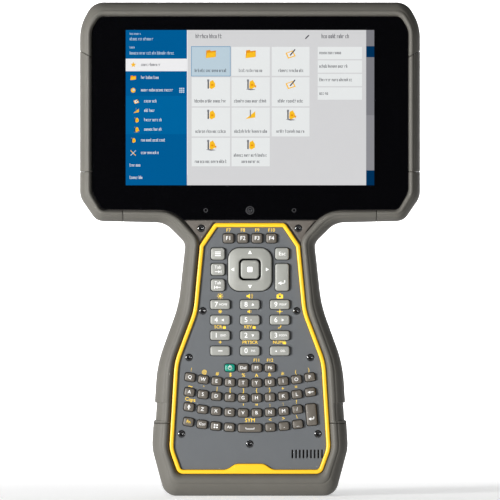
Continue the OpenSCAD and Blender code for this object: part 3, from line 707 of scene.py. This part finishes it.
power_x, power_z = POWER[:2]
arc = [math.radians(a) for a in range(125, 416, 29)]
power_ink = [
    line([(power_x + 1.1 * math.cos(t), power_z + 1.1 * math.sin(t)) for t in arc], 0.35, TOP, WHITE),
    line([(power_x, power_z + 0.3), (power_x, power_z + 1.5)], 0.35, TOP, WHITE),
]
key_piece("key_power", [POWER], green_plastic, power_ink)
edit_ink = [label(key, text, 2.7) for key, text in zip(EDIT, ("Del", "F5", "F6"))]
key_piece("keys_delete_f5_f6", EDIT, dark_plastic, edit_ink)


def letters(keys, text, size=3.0):
    return [label(k, t, size, -0.15, 0.05) for k, t in zip(keys, text)]


key_piece("keys_row_q", ROW_Q, dark_plastic, letters(ROW_Q, "QWERTYUIOP"))
row_a_ink = letters(ROW_A, "ASDFGHJKL")
row_a_ink += [arrow(*at(ROW_A[9], -0.7, 0), 1.6, "left", TOP, WHITE),
              line([at(ROW_A[9], -0.5, 0), at(ROW_A[9], 1.6, 0)], 0.4, TOP, WHITE)]
key_piece("keys_row_a", ROW_A, dark_plastic, row_a_ink)
shift = ROW_Z[0]
row_z_ink = letters(ROW_Z[1:], "ZXCVBNM/")
row_z_ink += [arrow(shift[0], shift[1] + 0.4, 1.8, "up", TOP, WHITE),
              line([at(shift, 0, -1.2), at(shift, 0, 0.1)], 0.55, TOP, WHITE)]
key_piece("keys_row_z", ROW_Z, dark_plastic, row_z_ink)
FN_LEGENDS = (("Fn", 2.6, YELLOW), ("Ctrl", 2.3, WHITE), ("", 1, WHITE), ("Alt", 2.4, WHITE),
              (",", 3.6, WHITE), (".", 3.6, WHITE), ("_", 3.2, WHITE))
fn_ink = [label(k, text, size, 0, 0.1, slot) for k, (text, size, slot) in zip(ROW_FN, FN_LEGENDS) if text]
for dx in (-0.75, 0.75):
    for dz in (-0.75, 0.75):
        fn_ink.append(stamp([circle(*at(ROW_FN[2], dx, dz), 0.5, 12)], TOP, WHITE))
key_piece("keys_row_fn", ROW_FN, dark_plastic, fn_ink)
space_ink = line([at(SPACE, x, z) for x, z in ((-2.5, 0.2), (-2.5, -0.6), (2.5, -0.6), (2.5, 0.2))],
                 0.32, TOP, WHITE)
key_piece("key_space", [SPACE], dark_plastic, [space_ink])
side_enter_ink = enter_arrow(*at(SIDE_ENTER, 0, -2.6), 2.2, TOP, WHITE)
key_piece("key_side_enter", [SIDE_ENTER], dark_plastic, side_enter_ink, radius=1.3)


def dpad_ring():
    """Rounded square ring that falls away from its middle, with four printed arrows."""
    def outline(d, y):
        loop = rectangle(DPAD_W - 2 * d, DPAD_H - 2 * d, 7 - d, 0, DPAD_Z, 0, 14)
        return [(px, y, pz) for px, pz in loop]

    def hole(d, y):
        loop = rectangle(DPAD_HOLE + 2 * d, DPAD_HOLE + 2 * d, 2.9 + d, 0, DPAD_Z, 0, 14)
        return [(px, y, pz) for px, pz in loop]

    base_y = plate_back_y - 0.5
    rings = [outline(0, base_y), outline(0, plate_y - 0.4)]
    for i in range(6):
        t = math.radians(90 * i / 5)
        rings.append(outline(1.1 * (1 - math.cos(t)), ring_y + 0.7 + 1.1 * (1 - math.sin(t))))
    rings += [outline(2.4, ring_y + 0.42), outline(3.8, ring_y + 0.18)]
    rings += [hole(1.6, ring_y), hole(0.9, ring_y + 0.02)]
    for i in range(5):
        t = math.radians(90 * i / 4)
        rings.append(hole(0.7 * (1 - math.sin(t)), ring_y + 0.04 + 0.7 * (1 - math.cos(t))))
    rings.append(hole(0, base_y))
    verts, faces = from_rings(rings, caps=False)
    m = len(rings[0])
    last = (len(rings) - 1) * m
    faces += [(j, last + j, last + (j + 1) % m, (j + 1) % m) for j in range(m)]
    parts = [(verts, faces, 0)]
    y = ring_y + 0.22
    for direction, dx, dz in (("up", 0, 9.8), ("down", 0, -9.8), ("left", -9.8, 0), ("right", 9.8, 0)):
        parts.append(arrow(dx, DPAD_Z + dz, 2.9, direction, y, WHITE))
    return parts


add("dpad_ring_cap", dpad_ring(), [light_plastic, white_ink], "direction_ring", ["dpad_ring"], 38)
SELECT = (0, DPAD_Z, 11.6, 11.6, 0)
key_piece("key_select", [SELECT], light_plastic, [
    slab([rectangle(3.2, 3.2, 0.6, 0, DPAD_Z)], select_y, select_y + 0.3, 0.02, WHITE, 1)],
    body="select_key", top=select_y, radius=2.4, bevel=0.9)


def key_hole(key):
    x, z, w, h, turn = key
    grow = 2 * KEY_GAP - SLIM
    return rectangle(w + grow, h + grow, 1.45, x, z, turn)


plate_loops = [rounded(inset(bead_corners + tab, 0.1))]
plate_loops += [key_hole(key) for key in SINGLE.values()]
plate_loops += [key_hole(key) for group in GROUPS.values() for key in group]
plate_loops.append(rectangle(DPAD_W + 0.8, DPAD_H + 0.8, 7.3, 0, DPAD_Z, 0, 12))
plate_loops += [rectangle(1, 5.2, 0.3, x, 25.6, 0, 3) for x in SPEAKER_SLOTS]
plate_loops += [circle(x, z, SCREW_HOLE_R) for x, z in PLATE_SCREWS]
plate_parts = [slab(plate_loops, plate_y, plate_back_y, 0.22)]
for x, z in PLATE_SCREWS:
    plate_parts.append(slab([circle(x, z, 2.5), circle(x, z, 1.5)], plate_y + 1.3, plate_back_y, 0.05))


def ink_above(key, text, size, dz):
    """Yellow legend above a key. Marks that sit high in their line are made larger and lower."""
    if text in "^*~`'\"":
        size, dz = size * 1.5, dz - 0.9
    return plate_word(text, size, *at(key, 0, dz), key[4])


def plate_shape(loops):
    return slab(loops, plate_y - PRINT_PROUD, plate_y + 0.1, 0.01, YELLOW, 0)


def plate_line(points, width):
    return line(points, width, plate_y, YELLOW)


def sun(x, z, r, rays):
    """Disc with short rays round it."""
    parts = [plate_shape([circle(x, z, r, 16)])]
    for i in range(rays):
        t = 2 * math.pi * i / rays
        c, s = math.cos(t), math.sin(t)
        parts.append(plate_line([(x + q * r * c, z + q * r * s) for q in (1.5, 2.3)], 0.28))
    return parts


def speaker_icon(x, z, s, waves):
    horn = [(-1, -0.35), (-0.45, -0.35), (0.15, -0.9), (0.15, 0.9), (-0.45, 0.35), (-1, 0.35)]
    parts = [plate_shape([[(x + a * s, z + b * s) for a, b in horn]])]
    arc = [math.radians(a) for a in (-50, -25, 0, 25, 50)]
    for i in range(waves):
        r = (0.55 + 0.45 * i) * s
        parts.append(plate_line([(x + 0.2 * s + r * math.cos(t), z + r * math.sin(t)) for t in arc], 0.26))
    return parts


def camera_icon(x, z, w):
    h = w * 0.62
    body = rectangle(w, h, 0.35, x, z, 0, 3)
    bump = rectangle(w * 0.4, h * 0.4, 0.15, x, z + h * 0.55, 0, 2)
    return [plate_shape([body, circle(x, z, h * 0.28, 16)]), plate_shape([bump])]


def lock_icon(x, z, w):
    body = rectangle(w, w * 0.8, 0.15, x, z - w * 0.2, 0, 2)
    arc = [math.radians(a) for a in range(0, 181, 30)]
    hoop = [(x + w * 0.3 * math.cos(t), z + w * 0.2 + w * 0.35 * math.sin(t)) for t in arc]
    return [plate_shape([body]), plate_line(hoop, 0.28)]


def plate_word(text, size, x, z, turn=0):
    return words(text, size, x, z, plate_y, YELLOW, turn, depth=0.08)


COLS = [NUMBERS[0][c][0] for c in range(3)]
ROW_ABOVE = [NUMBERS[r][0][1] + 5.1 for r in range(4)]
left, middle, right = COLS
plate_parts += sun(left, ROW_ABOVE[0], 0.75, 8)
plate_parts += speaker_icon(middle - 0.4, ROW_ABOVE[0], 1.7, 2)
plate_parts += camera_icon(right, ROW_ABOVE[0] - 0.2, 3.9)
plate_parts += sun(left, ROW_ABOVE[1], 0.45, 8)
plate_parts += speaker_icon(middle - 0.2, ROW_ABOVE[1], 1.3, 1)
plate_parts += sun(right, ROW_ABOVE[1], 0.65, 4)
for text, x in (("SCR", left), ("KEY", middle)):
    plate_parts.append(plate_word(text, 2.7, x - 1.2, ROW_ABOVE[2]))
for x in (left, middle):
    plate_parts += lock_icon(x + 2.5, ROW_ABOVE[2], 1.8)
tick = [(right + dx, ROW_ABOVE[2] + dz) for dx, dz in ((-0.8, -0.6), (0.1, -0.4), (0.7, 0.7))]
plate_parts.append(plate_line(tick, 0.5))
for text, size, x in (("+", 3.8, left), ("PRTSCR", 2.7, middle), ("NUM", 2.7, right - 1.2)):
    plate_parts.append(plate_word(text, size, x, ROW_ABOVE[3]))
plate_parts += lock_icon(right + 2.9, ROW_ABOVE[3], 1.8)
# Keys, their legends, the legends' size and how far above the key they stand.
ABOVE = (
    (SOFT, ("F7", "F8", "F9", "F10"), 2.9, 4.9), (EDIT[1:], ("F11", "F12"), 2.7, 4.5),
    (ROW_Q, "!@#$%^&*()", 3.1, 4.6), (ROW_A, "~`|[]{}+=", 3.1, 4.5),
    (ROW_Z[:1], ("Caps",), 3.2, 4.6), (ROW_Z[4:], ("'", '"', ";", ":", "?"), 3.1, 4.5),
    ([SPACE], ("SYM",), 3.4, 4.6), (ROW_FN[4:], "<>\\", 3.2, 4.5),
)
for keys, legends, size, rise in ABOVE:
    plate_parts += [ink_above(key, text, size, rise) for key, text in zip(keys, legends)]
add("keypad_plate_face", plate_parts, [plate_plastic, white_ink, yellow_ink], "unit", ["keypad_plate"], 5)

trim_parts = [slab([rounded(trim_corners), rounded(bead_corners + tab)], trim_y, plate_back_y, 0.95, 0, 5)]
add("keypad_trim_bead", trim_parts, trim_plastic, "unit", ["keypad_trim"], 50)


# ---------------------------------------------------------------- front shell, glass and camera
# The shell ends under the bumper, a little less than half way from its outer to its inner edge.
shell_corners = [
    tuple(o * 0.55 + i * 0.45 for o, i in zip(outer, inner))
    for outer, inner in zip(both_sides(OUTER), both_sides(INNER))
]
shoulder = [rounded(both_sides(SHOULDER), 5)] + [circle(x, z, SCREW_HOLE_R) for x, z in CORNER_SCREWS]
ledge_y = frame_y + 1.6
front_parts = [
    slab(shoulder, glass_y + 0.3, frame_y + 0.3, 0.25),
    slab([rounded(shell_corners), rounded(inset(bead_corners, 3))], ledge_y, frame_y + 5, 0.1),
    slab([rounded(shell_corners), rounded(trim_corners)], frame_y, ledge_y, 0.1),
]
add("front_housing_shell", front_parts, front_plastic, "unit", ["front_housing"])


def glass_outline(u, low):
    """Loop at share u between the ring's outer and inner edge, cut off flat at height low."""
    loop = [(o[0] + (i[0] - o[0]) * u, o[1] + (i[1] - o[1]) * u) for o, i in zip(outer_edge, inner_edge)]
    out = []
    for a, b in zip(loop, loop[1:] + loop[:1]):
        if a[1] >= low:
            out.append(a)
        if (a[1] - low) * (b[1] - low) < 0:
            t = (low - a[1]) / (b[1] - a[1])
            out.append((a[0] + (b[0] - a[0]) * t, low))
    return out


glass_parts = [slab([glass_outline(1.03, GLASS_Z)], glass_y, frame_y, 0.3)]
add("cover_glass_face", glass_parts, glass_black, "unit", ["cover_glass"], 5)

CAMERA_Z, SENSOR_X = 173.5, 26.8


def glass_mark(x, slot, *radii):
    """Disc, or ring between two radii, just proud of the glass."""
    return slab([circle(x, CAMERA_Z, r) for r in radii], glass_y - 0.03, glass_y + 0.3, 0.02, slot, 1)


lens_parts = [glass_mark(0, 1, 2.6, 1.9), glass_mark(0, 1, 1.5, 0.9), glass_mark(0, 0, 0.7)]
lens_parts += [glass_mark(side * SENSOR_X, 1, 1.3, 0.8) for side in (-1, 1)]
REAR_CAMERA_X, REAR_CAMERA_Z, LAMP_Z = 84, 262, 245
REAR_BEZEL = [
    (7, -4), (8.6, -0.1), (8.6, 0.75), (8.4, 1.1), (8.0, 1.2), (7.3, 1.2), (7.0, 1.05), (6.8, 0.5), (6.7, -1),
]
REAR_GLASS = [
    (6.72, -0.9), (6.72, 0.4), (3.9, 0.42), (3.8, 0.62), (3.3, 0.66), (3.1, 0.4), (2.4, -0.3), (1.5, 0.05),
    (0.7, 0.3),
]
REAR_LAMP = [(2.5, -0.5), (2.5, 0.2), (2.2, 0.3), (1.6, 0.12), (0.8, 0.26), (0.3, 0.3)]


def lathe(x, z, profile, slot):
    """Turned form on the rear face, from (radius, height above the face) pairs."""
    rings = [[(px, head_back_y + d, pz) for px, pz in reversed(circle(x, z, r, 40))] for r, d in profile]
    return (*from_rings(rings), slot)


rear_parts = [
    lathe(REAR_CAMERA_X, REAR_CAMERA_Z, REAR_BEZEL, 1),
    lathe(REAR_CAMERA_X, REAR_CAMERA_Z, REAR_GLASS, 0),
    lathe(REAR_CAMERA_X, LAMP_Z, REAR_LAMP, 2),
]
add("rear_camera_lens", rear_parts, [lens_black, lens_ring, light_plastic], "unit", ["rear_camera"])
add("front_camera_lens", lens_parts, [lens_black, lens_ring], "unit", ["front_camera"])


# ---------------------------------------------------------------- display image
SCREEN_W, SCREEN_H, SCREEN_Z = 150.8, 94.2, 235.8
LAYER = 0.015
UI = {
    "blue": (0.0, 0.105, 0.30), "blue_light": (0.0, 0.125, 0.34), "page": (0.66, 0.66, 0.67),
    "tile": (0.80, 0.82, 0.82), "tile_blue": (0.50, 0.62, 0.70), "border_blue": (0.05, 0.25, 0.47),
    "white": (0.85, 0.85, 0.86), "ink": (0.045, 0.045, 0.06), "pale_ink": (0.55, 0.68, 0.80),
    "yellow": (0.95, 0.52, 0.02), "orange": (0.80, 0.30, 0.01), "grey": (0.20, 0.20, 0.22),
    "grey_light": (0.26, 0.26, 0.28), "navy": (0.0, 0.03, 0.10), "black": (0.02, 0.02, 0.02),
}
ui_names = list(UI)
ui_materials = [
    material("screen_" + k, UI[k], 0.12, 0, 0.5, 0.01, 8, emission=0.86, spec=0.1) for k in ui_names
]
ui_parts = []


def ui_poly(points, color, layer=0):
    """Flat shape on the display. Points are millimetres right of and below its top left corner."""
    left, top = -SCREEN_W / 2, SCREEN_Z + SCREEN_H / 2
    y = (glass_y - LAYER * (layer + 1)) * MM
    verts = [((left + across) * MM, y, (top - down) * MM) for across, down in points]
    ui_parts.append((verts, [tuple(range(len(points)))], ui_names.index(color)))


def bar(x0, y0, x1, y1):
    return [(x0, y0), (x0, y1), (x1, y1), (x1, y0)]


def ui_rect(x0, y0, x1, y1, color, layer=0):
    ui_poly(bar(x0, y0, x1, y1), color, layer)


def ui_words(x0, x1, y, color, layer=2, size=1.25):
    """Illegible line of text: small uneven strokes grouped like words."""
    x, end = x0, x1 - size * 0.3
    top, bottom = y - size / 2, y + size / 2
    upright, level = size * 0.17, size * 0.18
    while x < end:
        for _ in range(random.randint(3, 6)):
            if x > end:
                break
            w = size * random.uniform(0.38, 0.62)
            up = random.choice((0, 0, 0, 0.55)) * size
            ui_rect(x, top - up, x + upright, bottom, color, layer)
            ui_rect(x, top, x + w, top + level, color, layer)
            if random.random() < 0.6:
                ui_rect(x + w - upright, top, x + w, bottom, color, layer)
            if random.random() < 0.5:
                ui_rect(x, bottom - level, x + w, bottom, color, layer)
            x += w + size * 0.2
        x += size * 0.35


# Generic pictograms, as (colour, layer, points); a point is in shares of the icon's width.
STAR = [(0.5 if i % 2 == 0 else 0.225, i * math.pi / 5) for i in range(10)]
ICON_SHAPES = {
    "folder": (
        ("orange", 0, [(-0.5, 0.4), (0.5, 0.25), (0.5, -0.35), (0, -0.3), (-0.1, -0.42), (-0.45, -0.35)]),
        ("yellow", 1, [(-0.5, 0.4), (0.42, 0.3), (0.5, -0.2), (-0.35, -0.12)]),
    ),
    "note": (
        ("yellow", 0, [(-0.5, -0.1), (0.2, -0.35), (0.5, 0.2), (-0.25, 0.45)]),
        ("white", 1, [(-0.35, -0.08), (0.15, -0.24), (0.35, 0.15), (-0.18, 0.32)]),
        ("ink", 2, [(-0.1, 0.1), (0.4, -0.5), (0.48, -0.42), (0, 0.16)]),
    ),
    "tool": (
        ("grey", 0, bar(-0.36, -0.5, -0.16, -0.3)),
        ("black", 0, bar(-0.32, -0.3, -0.2, 0.4)),
        ("yellow", 1, [(-0.1, -0.3), (0.2, -0.45), (0.42, -0.1), (0.42, 0.25), (0.05, 0.45), (-0.15, 0.3)]),
        ("orange", 2, bar(0.02, -0.05, 0.25, 0.12)),
    ),
    "angle": (
        ("yellow", 0, [(-0.5, 0.4), (0.45, 0.25), (0.45, -0.35)]),
        ("grey", 1, bar(-0.08, -0.5, 0.02, 0.2)),
    ),
    "star": (("yellow", 0, [(r * math.sin(t), -r * math.cos(t)) for r, t in STAR]),),
    "globe": (
        ("yellow", 0, circle(0, 0, 0.42, 16)),
        ("pale_ink", 1, circle(0.08, -0.08, 0.2, 12)),
    ),
    "cross": (
        ("yellow", 0, [(-0.45, -0.5), (0.5, 0.42), (0.4, 0.5), (-0.5, -0.38)]),
        ("pale_ink", 1, [(0.45, -0.5), (0.5, -0.4), (-0.4, 0.5), (-0.5, 0.42)]),
    ),
}
ICON_SHAPES["stake"] = ICON_SHAPES["tool"] + (
    ("grey", 0, [(-0.5, 0.45), (0, 0.38), (0.5, 0.5), (0, 0.56)]),
    ("orange", 2, [(0.3, 0), (0.55, 0.1), (0.5, 0.35)]),
)


def ui_icon(x, y, size, kind, layer=3):
    for color, above, points in ICON_SHAPES[kind]:
        ui_poly([(x + size * a, y + size * b) for a, b in points], color, layer + above)


MENU_W, STRIP_X = 37.1, 145.9
ui_rect(0, 0, MENU_W, SCREEN_H, "blue")
ui_rect(0, 40, MENU_W, 63.2, "blue_light", 1)
ui_rect(0, 17.4, MENU_W, 25, "white", 1)
ui_rect(MENU_W, 0, STRIP_X, SCREEN_H, "page")
ui_rect(37.2, 0, 37.6, 88, "white", 1)
ui_rect(STRIP_X, 0, SCREEN_W, SCREEN_H, "grey")
ui_rect(STRIP_X, 51.7, SCREEN_W, SCREEN_H, "grey_light", 1)
ui_rect(STRIP_X, 9.8, SCREEN_W, 16.5, "navy", 2)
ui_rect(STRIP_X, 85.2, SCREEN_W, SCREEN_H, "navy", 2)
for x1, y, size in ((9.3, 2.4, 0.9), (16.7, 5.6, 1.3), (5.7, 10.7, 0.9), (29, 14.2, 1.3)):
    ui_words(2.4, x1, y, "pale_ink", 2, size)
ui_icon(4.6, 21.1, 3.6, "star")
ui_words(9.3, 21, 21.2, "ink")
for x0, x1, y, icon, ix in (
    (9.3, 19.9, 29, "folder", 4.5), (9.3, 29.4, 36.6, "globe", 4.5), (11.2, 18.6, 43.3, "note", 6.4),
    (11.2, 17.3, 49, "angle", 6.4), (11.2, 21.7, 54.7, "tool", 6.4), (11.2, 21.7, 60.4, "stake", 6.4),
    (9.3, 23.9, 67, "tool", 4.5), (9.3, 19.8, 74.6, "cross", 4.5),
    (2.4, 8.5, 82.2, None, 0), (2.4, 10.4, 89.7, None, 0),
):
    ui_words(x0, x1, y, "white")
    if icon:
        ui_icon(ix, y, 3.4, icon)
for i in range(3):
    for j in range(3):
        dx, dy = i * 1.1, j * 1.1
        ui_rect(32.5 + dx, 35.1 + dy, 33.3 + dx, 35.9 + dy, "pale_ink", 2)
ui_words(42.4, 58.4, 4.1, "ink", 2, 1.7)
ui_poly([(108.8, 5.6), (109, 4.8), (110.9, 2.9), (111.4, 3.4), (109.5, 5.3)], "ink", 2)
ui_words(118.8, 135.1, 4.1, "ink", 2, 1.7)
# Tiles: their columns and rows, their icons, and the width of each one's label.
COLUMNS = ((40, 63.3), (64.2, 87.4), (88.6, 111.5))
ROWS = ((10.2, 27.8), (28.7, 46.3), (47.1, 64.6), (65.4, 82.7))
ICONS = (
    ("folder", "folder", "note"), ("tool", "stake", "note"), ("tool", "angle", "stake"), ("stake", "tool"),
)
LABEL_W = ((19.6, 14.3, 14.8), (19.8, 20, 15.6), (18.6, 19.8, 17.2), (19.4, 20.4))
for r, (y0, y1) in enumerate(ROWS):
    for c, icon in enumerate(ICONS[r]):
        x0, x1 = COLUMNS[c]
        chosen = r == c == 0
        if chosen:
            ui_rect(x0 - 0.3, y0 - 0.3, x1 + 0.3, y1 + 0.3, "border_blue", 1)
        ui_rect(x0, y0, x1, y1, "tile_blue" if chosen else "tile", 2)
        middle = (x0 + x1) / 2
        ui_icon(middle, y0 + 4.4, 6.2, icon, 4)
        w = LABEL_W[r][c]
        if (r, c) == (3, 1):
            ui_words(middle - w / 2, middle + w / 2, y0 + 10.8, "ink", 3, 1.35)
            w = 11
        ui_words(middle - w / 2, middle + w / 2, y0 + 14.6, "ink", 3, 1.35)
for i, w in enumerate((14.2, 17.1, 20, 5.8)):
    y = ROWS[0][0] + i * 8.2
    ui_rect(116.5, y, 143.4, y + 7.5, "tile", 1)
    ui_words(117.5, 117.5 + w, y + 3.8, "ink", 2, 1.35)
add("display_image", ui_parts, ui_materials, "unit")


# ---------------------------------------------------------------- screws
HEAD_PROFILE = [(2.15, 1.0), (2.15, 0.4), (2.02, 0.14), (1.75, 0.0), (1.3, 0.0), (1.12, 0.12),
                (0.98, 0.45), (0.7, 0.8), (0.35, 0.92)]


def screw(x, z, top, sign):
    """Button head with a bowl-shaped recess; sign is +1 where the head faces the front."""
    rings = [[(px, top + sign * d, pz) for px, pz in circle(x, z, r, 24)] for r, d in HEAD_PROFILE]
    return (*from_rings(rings), 0)


screw_parts = [screw(x, z, plate_y + 0.1, 1) for x, z in PLATE_SCREWS]
screw_parts += [screw(x, z, glass_y + 0.5, 1) for x, z in CORNER_SCREWS]
screw_parts += [screw(x, z, head_back_y + 2, -1) for x, z in REAR_SCREWS]
add("housing_screw_heads", screw_parts, screw_steel, "unit", ["housing_screws"])

# ---------------------------------------------------------------- CAD nodes that stay
KEEP = {
    "rear_housing": rear_plastic, "module_cover": rear_plastic, "battery_door": rear_plastic,
    "housing_gasket": black_plastic, "display_panel": black_plastic, "keypad_mat": mat_rubber,
    "dpad_pivot": mat_rubber, "keypad_board": board_green, "main_board": board_green,
    "battery_packs": cell_wrap, "speaker": black_plastic,
    "side_ports": socket_black, "mount_inserts": brass,
    "battery_latch": latch_metal,
}
for node_name, mat in KEEP.items():
    obj = nodes[node_name]
    obj.data.materials.clear()
    obj.data.materials.append(mat)
    if node_name in ("rear_housing", "module_cover", "battery_door"):
        bevel = obj.modifiers.new("edge_bevel", "BEVEL")
        bevel.width = 0.6 * MM
        bevel.segments = 2
        bevel.limit_method = "ANGLE"
        bevel.angle_limit = math.radians(35)

# ---------------------------------------------------------------- stage, light and camera
def studio_material(name, value, glow=0):
    mat = bpy.data.materials.new(name)
    mat.use_nodes = True
    shader = mat.node_tree.nodes["Principled BSDF"]
    shader.inputs["Base Color"].default_value = (value, value, value, 1)
    shader.inputs["Roughness"].default_value = 0.9
    shader.inputs["Specular IOR Level"].default_value = 0.1
    shader.inputs["Emission Color"].default_value = (1, 1, 1, 1)
    shader.inputs["Emission Strength"].default_value = glow
    return mat


def studio_sheet(name, verts, faces, mat):
    mesh = bpy.data.meshes.new(name)
    mesh.from_pydata(verts, [], faces)
    for polygon in mesh.polygons:
        polygon.use_smooth = True
    mesh.materials.append(mat)
    obj = new_object(name, mesh)
    return obj


def studio():
    """Pale floor that curves up into a backdrop."""
    depth, rise, radius, half = 1.4, 0.4, 0.25, 5.0
    profile = [(-6.0, 0.0), (depth - radius, 0.0)]
    steps = 12
    for i in range(1, steps + 1):
        t = math.radians(90 * i / steps)
        profile.append((depth - radius + radius * math.sin(t), radius - radius * math.cos(t)))
    profile.append((depth, rise))
    verts = [(x, y, z) for y, z in profile for x in (-half, half)]
    faces = [(2 * i, 2 * i + 1, 2 * i + 3, 2 * i + 2) for i in range(len(profile) - 1)]
    studio_sheet("studio_floor", verts, faces, studio_material("studio_paper", 0.92, 0.42))


def studio_flag():
    """Dark card behind the camera, which keeps the glass black."""
    half, y, low, high = 0.7, -2.0, -0.2, 0.9
    corners = [(-half, y, low), (half, y, low), (half, y, high), (-half, y, high)]
    flag = studio_sheet("studio_flag", corners, [(0, 1, 2, 3)], studio_material("studio_card", 0.01))
    flag.visible_camera = False


studio()
studio_flag()


def area_light(name, place, aim, size, power, color=(1, 1, 1)):
    data = bpy.data.lights.new(name, "AREA")
    data.shape = "RECTANGLE"
    data.size, data.size_y = size
    data.energy = power
    data.color = color
    obj = new_object(name, data)
    obj.location = place
    obj.rotation_euler = (Vector(aim) - Vector(place)).to_track_quat("-Z", "Y").to_euler()


# Place, aim, size and power. The key light is low at the left, and the other lights the backdrop.
area_light("key_light", (-1.35, -1.25, 0.17), (0, 0, 0.15), (0.45, 0.34), 60)
area_light("backdrop_light", (0, 1.3, 1.1), (0, 1.85, 0.25), (2.6, 0.7), 42)

world = bpy.data.worlds.new("studio_world")
world.use_nodes = True
world.node_tree.nodes["Background"].inputs["Color"].default_value = (1, 1, 1, 1)
world.node_tree.nodes["Background"].inputs["Strength"].default_value = 0.17
bpy.context.scene.world = world
bpy.context.scene.view_settings.view_transform = "Standard"

camera_data = bpy.data.cameras.new("camera")
camera = new_object("camera", camera_data)
camera_data.sensor_width = 36
camera_data.lens = 600
# Height of the part of the scene in the picture, and its middle, both in metres.
FRAME_H, FRAME_Z = 0.3033, 0.1494
distance = FRAME_H * camera_data.lens / camera_data.sensor_width
camera.location = (0, front_y * MM - distance, FRAME_Z)
camera.rotation_euler = (math.radians(90), 0, 0)
bpy.context.scene.camera = camera
